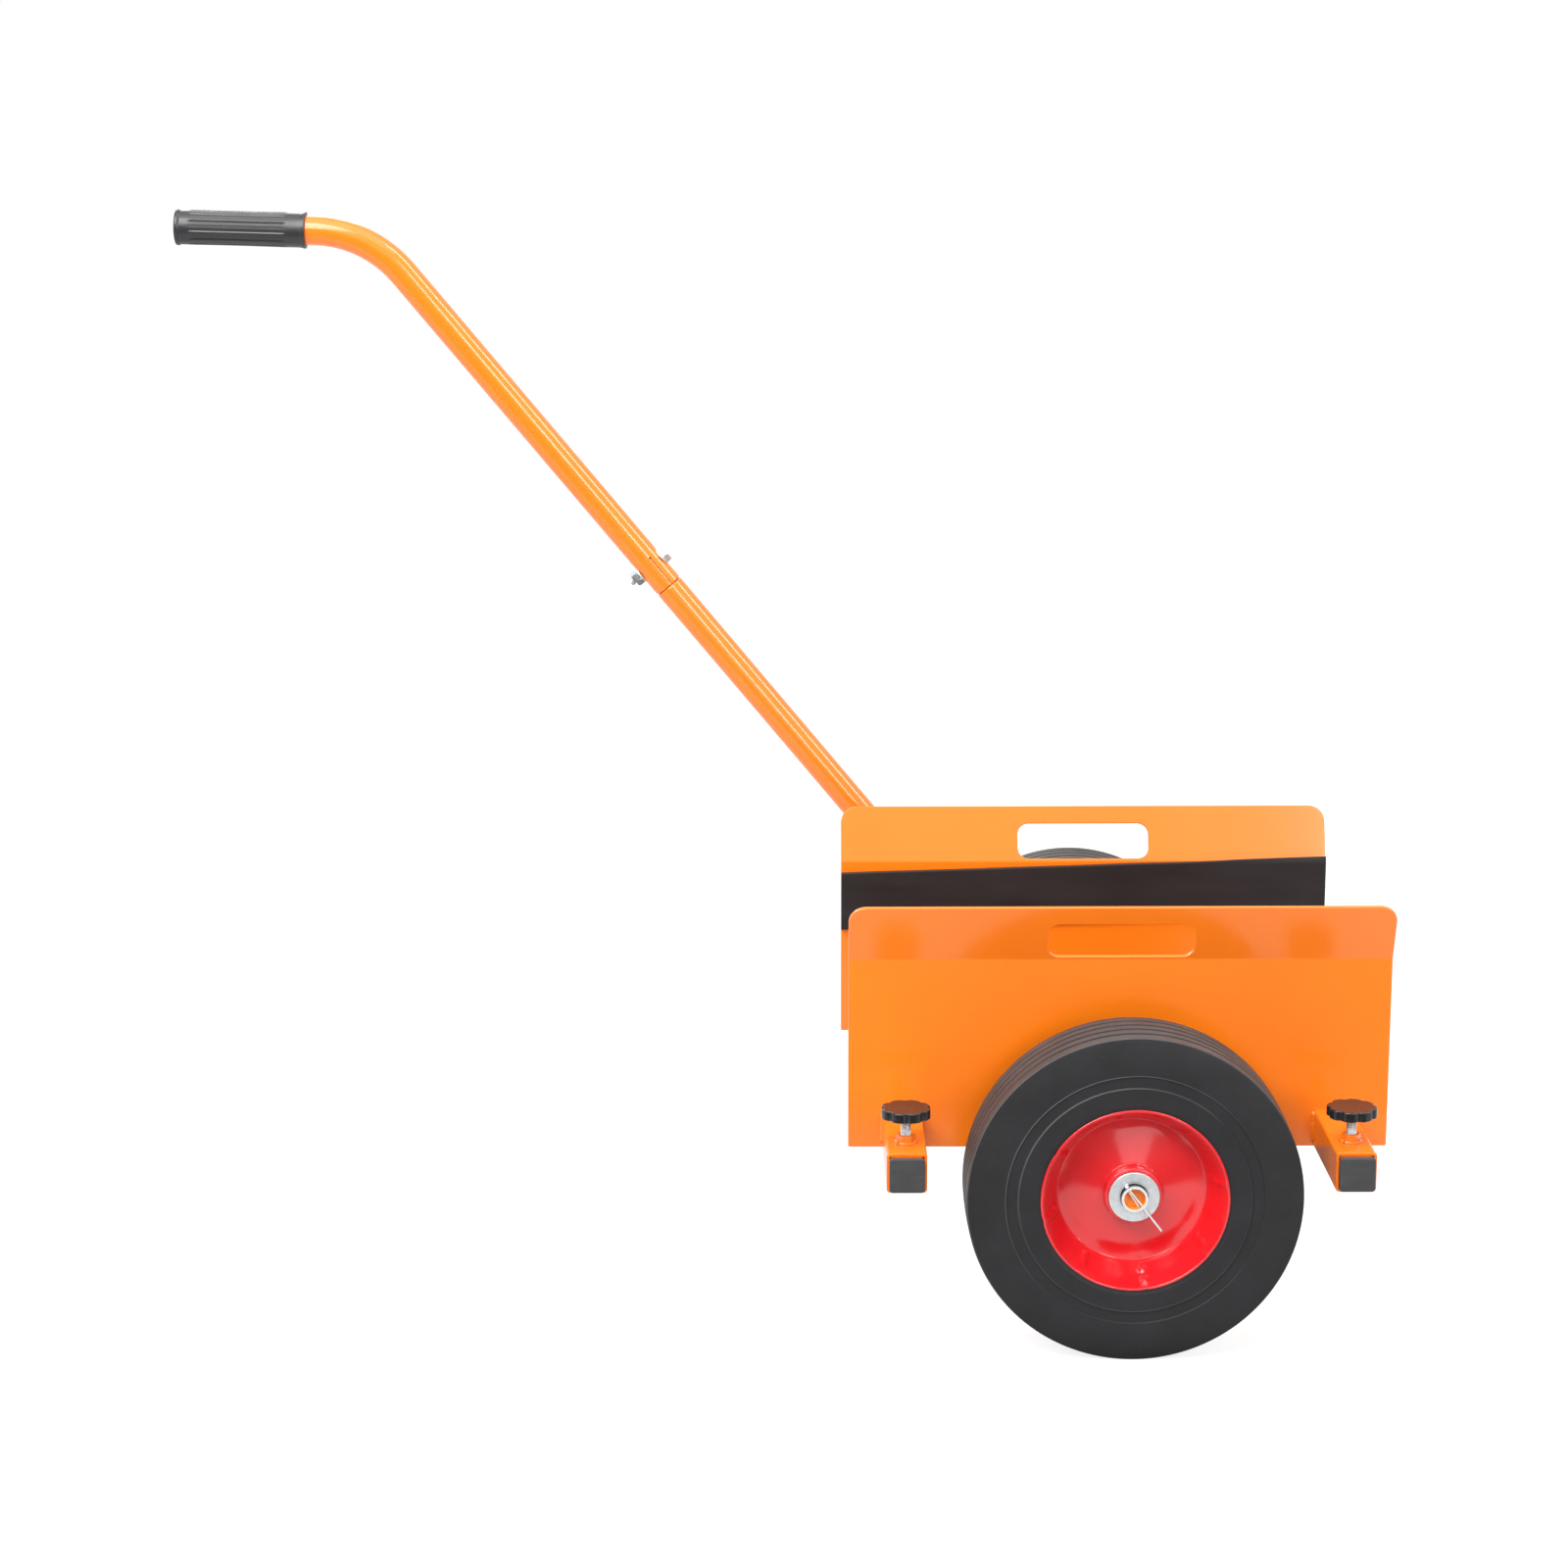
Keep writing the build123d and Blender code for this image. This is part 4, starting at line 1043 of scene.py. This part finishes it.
# At the joint, z points up the handle, x towards the moving jaw and y to the bolt head
JOINT_FRAME = axes(JOINT, HANDLE_AXIS, NEARWARD)


def handle_station(distance):
    """Frame on the upper tube's axis at a distance from the joint."""
    if distance <= BEND_START:
        return axes(JOINT + HANDLE_AXIS * distance, HANDLE_AXIS, NEARWARD)
    inward = Vector((-HANDLE_AXIS.z, 0, HANDLE_AXIS.x))
    centre = JOINT + HANDLE_AXIS * BEND_START + inward * HANDLE_BEND
    angle = min(HANDLE_TURN, (distance - BEND_START) / HANDLE_BEND)
    along = HANDLE_AXIS * cos(angle) + inward * sin(angle)
    spot = centre + (HANDLE_AXIS * sin(angle) - inward * cos(angle)) * HANDLE_BEND
    past = max(0.0, distance - BEND_START - HANDLE_TURN * HANDLE_BEND)
    return axes(spot + along * past, along, NEARWARD)


def tube_section(distance, turns, radius):
    """Points of the upper tube's section, pressed flat at the bolt."""
    away = min(1.0, abs(distance - BOLT_FROM_END) / PRESS_REACH)
    ease = away * away * (3 - 2 * away)
    limit = BOLT_PRESS - (HANDLE_RADIUS - radius) + ease * (HANDLE_RADIUS - BOLT_PRESS)
    across = np.clip(radius * np.sin(turns), -limit, limit)
    return lifted(np.c_[radius * np.cos(turns), across], 0.0)


def slit_gap(distance):
    """Half width of the slit, which ends in a round hole."""
    past = distance - SLIT_LENGTH
    if past > SLIT_END * 0.999:
        return 0.0
    if past > -SLIT_END * 0.9:
        return sqrt(max(0.0, SLIT_END ** 2 - past ** 2))
    return SLIT_WIDTH / 2


def upper_tube_part():
    """Upper tube with its slit, the pressed seats of the bolt and the bend."""
    total = 2 * BEND_START - UPPER_RUN + GRIP_RUN + HANDLE_BEND * HANDLE_TURN
    stations = [0, 0.2 * mm, 0.5 * mm, *np.arange(1.5, 27, 1.5) * mm]
    stations += [SLIT_LENGTH + SLIT_END * value for value in np.sin(np.linspace(-pi / 2, pi / 2, 13))]
    stations += [*np.arange(32, 50, 1.5) * mm, *np.linspace(60 * mm, total, 80)]
    count = TUBE_POINTS + 1
    rings = []
    open_here = []
    for distance in stations:
        gap = slit_gap(distance)
        half_turn = gap / HANDLE_RADIUS
        turns = SLIT_TURN + np.linspace(half_turn, 2 * pi - half_turn, count)
        soft = 0.3 * mm * max(0.0, 1 - distance / (0.5 * mm))
        outer = tube_section(distance, turns, HANDLE_RADIUS - soft)
        inner = tube_section(distance, turns[::-1], HANDLE_BORE)
        ring, _ = moved((np.r_[outer, inner], []), handle_station(distance))
        rings.append(ring)
        open_here.append(gap > 0)
    verts, faces = skin(rings, caps=False)
    width = 2 * count
    kept = []
    for face in faces:
        row = min(face) // width
        places = {index % width for index in face}
        is_slit_wall = places in ({count - 1, count}, {0, width - 1})
        if not is_slit_wall or open_here[row] or open_here[row + 1]:
            kept.append(face)
    for start in (0, (len(rings) - 1) * width):
        for number in range(count - 1):
            outer_pair = start + number, start + number + 1
            inner_pair = start + width - 2 - number, start + width - 1 - number
            kept.append((*outer_pair, *inner_pair))
    return verts, kept


def neck_part():
    """Neck of the lower tube, inside the upper tube; its dark finish is painted shade that darkens the
    slit.
    """
    profile = rectangle((NECK_LENGTH, NECK_RADIUS - TUBE_WALL), (NECK_FOOT, NECK_RADIUS))
    return moved(lathe(profile, TUBE_POINTS), JOINT_FRAME)


def lower_tube_part():
    """Lower tube: level foot and a rounded shoulder at the joint."""
    profile = []
    for angle in np.linspace(0, pi / 2, 7):
        reach = NECK_RADIUS + (HANDLE_RADIUS - NECK_RADIUS) * sin(angle)
        profile.append((-SHOULDER_GAP - SHOULDER_LENGTH * (1 - cos(angle)), reach))
    profile += [(-height * mm, HANDLE_RADIUS) for height in (10, 60, 150, 250, 350)]
    foot = len(profile) * TUBE_POINTS
    profile += [(-LOWER_RUN, HANDLE_RADIUS), (-LOWER_RUN, HANDLE_BORE)]
    profile += [(2 * NECK_FOOT, HANDLE_BORE), (NECK_FOOT, NECK_RADIUS - TUBE_WALL)]
    verts, faces = moved(lathe(profile, TUBE_POINTS), JOINT_FRAME)
    for index in range(foot, foot + 2 * TUBE_POINTS):
        drop = (verts[index][2] - HANDLE_LOW.z) / HANDLE_AXIS.z
        verts[index] -= np.array(HANDLE_AXIS) * drop
    return verts, faces


def grip_part():
    """Moulded grip: flared lip, plain bands, rounded flutes and a domed closed end."""
    radius = HANDLE_RADIUS + GRIP_WALL
    lip = radius + GRIP_LIP
    bore = HANDLE_RADIUS + 0.05 * mm
    turns = around(288)
    from_flute = ((turns + FLUTE_TURN) * GRIP_FLUTES / (2 * pi) + 0.5) % 1 - 0.5
    flute = np.exp(-(from_flute / 0.13) ** 2) - 0.35 * np.exp(-(from_flute / 0.33) ** 2)
    bottom = GRIP_LENGTH - GRIP_CAP
    outline = [(bottom, 0.5 * mm, 0), (bottom, bore, 0), (0, bore, 0), (0, lip - 0.5 * mm, 0)]
    front = ((0.3, 0.85), (0.8, 1.0), (1.6, 0.95), (2.6, 0.62), (3.8, 0.28), (5.2, 0.08), (7.0, 0.0))
    outline += [(height * mm, radius + swell * GRIP_LIP, 0) for height, swell in front]
    first, last = 15 * mm, GRIP_LENGTH - 11 * mm
    for share in np.linspace(0, 1, 46):
        depth = FLUTE_DEPTH * min(1.0, sqrt(min(share, 1 - share) / 0.05))
        waist = 0.25 * mm * sin(pi * share)
        outline.append((first + share * (last - first), radius - waist, depth))
    back = ((5.0, 0.0), (4.2, 0.1), (3.5, 0.7), (2.9, 1.0), (2.0, 1.0), (1.2, 0.8))
    outline += [(GRIP_LENGTH - height * mm, radius + swell * GRIP_LIP, 0) for height, swell in back]
    for share in np.linspace(0.25, 1, 6):
        height = GRIP_LENGTH - 1.0 * mm * (1 - sin(share * pi / 2))
        outline.append((height, (lip - 0.4 * mm) * (1 - 0.18 * (share - 0.25)), 0))
    outline += [(GRIP_LENGTH, share * lip, 0) for share in (0.5, 0.05)]
    rings = [polar(reach - depth * flute, turns, height) for height, reach, depth in outline]
    start = CORNER + GRIP_AXIS * (GRIP_RUN + GRIP_CAP - GRIP_LENGTH)
    return moved(skin(rings), axes(start, GRIP_AXIS, NEARWARD))


def bolt_frame(height):
    """Frame on the joint bolt's axis: z points to the head."""
    shift = Matrix.Translation((0, 0, BOLT_FROM_END)) @ Matrix.Rotation(-pi / 2, 4, "X")
    return JOINT_FRAME @ shift @ Matrix.Translation((0, 0, height))


def bolt_parts(top):
    """Bolt head, plain shank and threaded end under a seat."""
    plain = BOLT_LENGTH - BOLT_THREAD
    core = 0.2 * mm
    shank = lathe(rectangle((0, core), (-plain, BOLT_RADIUS)), 40)
    downward = bolt_frame(top - plain) @ Matrix.Rotation(pi, 4, "X")
    return [
        moved(hexagon_body(HEAD_HEIGHT, below=False), bolt_frame(top)),
        moved(shank, bolt_frame(top)),
        moved(threaded(BOLT_RADIUS, BOLT_THREAD), downward),
    ]


def build_handle():
    dress("handle_lower_tube", lower_tube_part())
    piece("handle_neck_detail", [neck_part()], "orange_paint", "frame", finish=NECK_PAINTED_SHADE)
    dress("handle_upper_tube", upper_tube_part())
    dress("handle_grip", grip_part(), smooth=55)
    top = BOLT_SEAT + BOLT_WASHER
    dress("handle_bolt", *bolt_parts(top), finish=BOLT_FINISH)
    washer = ring_part(0, BOLT_WASHER, NUT_BORE, BOLT_WASHER_RADIUS, BOLT_WASHER_EDGE)
    washers = [moved(washer, bolt_frame(height)) for height in (BOLT_SEAT, -top)]
    dress("handle_washers", *washers, finish=BOLT_FINISH)
    turned = bolt_frame(-top - NUT_HEIGHT) @ Matrix.Rotation(pi / 6, 4, "Z")
    dress("handle_nut", moved(hexagon_body(NUT_HEIGHT, NUT_BORE), turned), finish=NUT_FINISH)


# Weld beads between tubes and plates


def beside_tube(low, high, foot):
    """The x, foot and head of a line up each side of a tube."""
    for x in (low.x - BEAD_OFF_SIDE, high.x + BEAD_OFF_SIDE):
        yield x, low.z + foot, high.z - 2 * mm


def build_welds():
    beads = []
    face = MOVING_JAW_Y - SHEET - BEAD_OFF_FACE
    for name in ("left", "right"):
        for x, foot, head in beside_tube(*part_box(f"sleeve_{name}"), 4 * mm):
            beads.append(weld([(x, face, foot), (x, face, head)], SLEEVE_BEAD, seed=x * 90))
    piece("sleeve_welds", beads, "orange_paint", "moving_jaw")
    beads = []
    beam_low, beam_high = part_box("rear_beam")
    for name in ("left", "right"):
        arm_low, arm_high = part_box(f"arm_{name}")
        for y in (FIXED_JAW_Y + SHEET + BEAD_OFF_FACE, beam_low.y - BEAD_OFF_FACE):
            for x, foot, head in beside_tube(arm_low, arm_high, 3 * mm):
                beads.append(weld([(x, y, foot), (x, y, head)], FRAME_BEAD, seed=x * 70 + y))
    swell = 0.3 * mm
    ring = polar(1.0, around(72), 0.5 * mm) * (FOOT_REACH + swell, HANDLE_RADIUS + swell, 1)
    beads.append(weld(ring + np.array(HANDLE_FOOT), FOOT_BEAD, closed=True, seed=5))
    low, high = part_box("axle_beam")
    for y in (beam_low.y - BEAD_OFF_SIDE, beam_high.y + BEAD_OFF_SIDE):
        line = [(x, y, high.z + swell) for x in (low.x + 2 * mm, high.x - 2 * mm)]
        beads.append(weld(line, FRAME_BEAD, seed=y * 50))
    piece("frame_welds", beads, "orange_paint", "frame")


def dress_cad_nodes():
    """Give the CAD nodes that stay visible their finishes."""
    for name, part in frame["nodes"].items():
        if not part.hide_render:
            part.data.materials.clear()
            part.data.materials.append(AXLE_FINISH if name == "axle" else FINISH[SLOTS[name]])


# Stage, light and camera

WHITE = (1, 1, 1, 1)


def fade(value, start, end, low=0.0, high=1.0):
    """Level that goes from low at the start to high at the end."""
    limits = {"Value": value, "From Min": start, "From Max": end, "To Min": low, "To Max": high}
    return signal("Result", value.tree, "MapRange", limits)


def rays(tree):
    """Whether a ray shows a surface, straight or mirrored, and whether it is a mirrored one."""
    path = node(tree, "LightPath").outputs
    glossy = Signal(path["Is Glossy Ray"])
    seen = maths("MAXIMUM", Signal(path["Is Camera Ray"]), glossy)
    return maths("MAXIMUM", seen, Signal(path["Is Transmission Ray"])), glossy


def mixed(factor, first, second):
    """Mix of two shaders."""
    return signal("Shader", factor.tree, "MixShader", {0: factor, 1: first, 2: second})


def floor_material():
    """White floor that takes shadows; mirrored, it is dark in front of the cart and has a painted shadow
    under the wheels, and to bounced light it is dim along the cart as painted shade.
    """
    made = bpy.data.materials.new("floor")
    made.use_nodes = True
    tree = made.node_tree
    tree.nodes.clear()
    seen, glossy = rays(tree)
    where = place(tree)
    x, y, _ = split(where)
    # Painted shade: bounced light is cut in a strip through the cart and in front of it, and mirrors see
    # a painted shadow under the wheels.
    shade_wide = fade(abs(x), 0.26, 0.16) * fade(y, -1.2, -0.8)
    shade_near = fade(abs(x), 0.145, 0.115) * fade(y, -0.34, -0.30)
    grey = ramp(shade_wide, (0.0, 0.80), (1.0, 0.12))
    plain = signal("BSDF", tree, "BsdfDiffuse", {"Color": grey})
    shaded = signal("BSDF", tree, "BsdfDiffuse", {"Color": rgba(0.26)})
    level = fade(vector_maths("Value", "LENGTH", where), 0.8, 2.2) * 0.14 + 0.86
    white = signal("Emission", tree, "Emission", {"Color": WHITE, "Strength": level})
    bright = signal("Shader", tree, "AddShader", {0: shaded, 1: white})
    lit = fade(y, -0.76, -0.66, 0.10, 1.0) * ramp(shade_near, (0.0, 1.0), (1.0, 0.10))
    mirrored = signal("Emission", tree, "Emission", {"Color": WHITE, "Strength": lit})
    node(tree, "OutputMaterial", {"Surface": mixed(seen, plain, mixed(glossy, bright, mirrored))})
    return made


def build_world():
    """Soft white surroundings; mirrored, they are darker low in front, where the room lies open."""
    world = bpy.data.worlds.new("studio")
    bpy.context.scene.world = world
    world.use_nodes = True
    tree = world.node_tree
    tree.nodes.clear()
    seen, glossy = rays(tree)
    _, y, z = split(signal("Generated", tree, "TexCoord"))
    dark = fade(y, -0.80, -0.92) * fade(z, 0.30, 0.15) * 0.8
    soft, white = (
        signal("Background", tree, "Background", {"Color": WHITE, "Strength": strength})
        for strength in (0.15, 1.0 - dark * glossy))
    node(tree, "OutputWorld", {"Surface": mixed(seen, soft, white)})


def softbox(name, place_at, target, width, height, power):
    """Rectangular area light aimed at a point."""
    lamp = bpy.data.lights.new(name, "AREA")
    lamp.shape = "RECTANGLE"
    lamp.size = width
    lamp.size_y = height
    lamp.energy = power
    made = bpy.data.objects.new(name, lamp)
    made.location = place_at
    made.rotation_euler = (Vector(target) - Vector(place_at)).to_track_quat("-Z", "Y").to_euler()
    bpy.context.scene.collection.objects.link(made)


def build_stage():
    span = 30.0
    mesh = bpy.data.meshes.new("floor")
    corners = [(x, y, 0) for x, y in rectangle((-span, -span), (span, span))]
    mesh.from_pydata(corners, [], [(0, 1, 2, 3)])
    mesh.materials.append(floor_material())
    floor = bpy.data.objects.new("floor", mesh)
    bpy.context.scene.collection.objects.link(floor)
    build_world()
    middle = (-0.15, 0.0, 0.35)
    softbox("left front softbox", (-1.5, -1.7, 2.6), middle, 2.4, 2.0, 132)
    softbox("overhead softbox", (-0.2, -0.5, 2.8), (-0.2, -0.3, 0), 2.2, 2.2, 22)
    softbox("back softbox", (-1.4, 2.8, 2.2), middle, 2.0, 1.6, 50)
    softbox("right strip", (1.29, 0.0, 2.04), (-0.40, 0.175, 0.62), 0.45, 2.0, 27)
    softbox("front strip", (1.08, -2.55, 1.5), middle, 0.50, 1.8, 28)
    softbox("low front card", (0.27, -2.7, 0.50), middle, 0.8, 0.5, 1.5)


def build_camera():
    """Camera at the photograph's viewing angle."""
    data = bpy.data.cameras.new("photo view")
    data.sensor_width = 36.0
    data.lens = data.sensor_width * FOCAL_PIXELS / IMAGE_SIZE
    data.clip_start = 0.05
    data.clip_end = 100.0
    forward = Vector((0, cos(CAMERA_PITCH), -sin(CAMERA_PITCH)))
    level = Vector(X_AXIS)
    upright = level.cross(forward)
    right = level * cos(CAMERA_ROLL) + upright * sin(CAMERA_ROLL)
    camera = bpy.data.objects.new("photo view", data)
    camera.matrix_world = axes(CAMERA_PLACE, -forward, right)
    bpy.context.scene.collection.objects.link(camera)
    bpy.context.scene.camera = camera
    bpy.context.scene.view_settings.view_transform = "Standard"


build_wheels()
build_jaws()
build_tubes()
build_plugs()
build_clamps()
build_handle()
build_welds()
dress_cad_nodes()
build_stage()
build_camera()
bpy.context.view_layer.update()
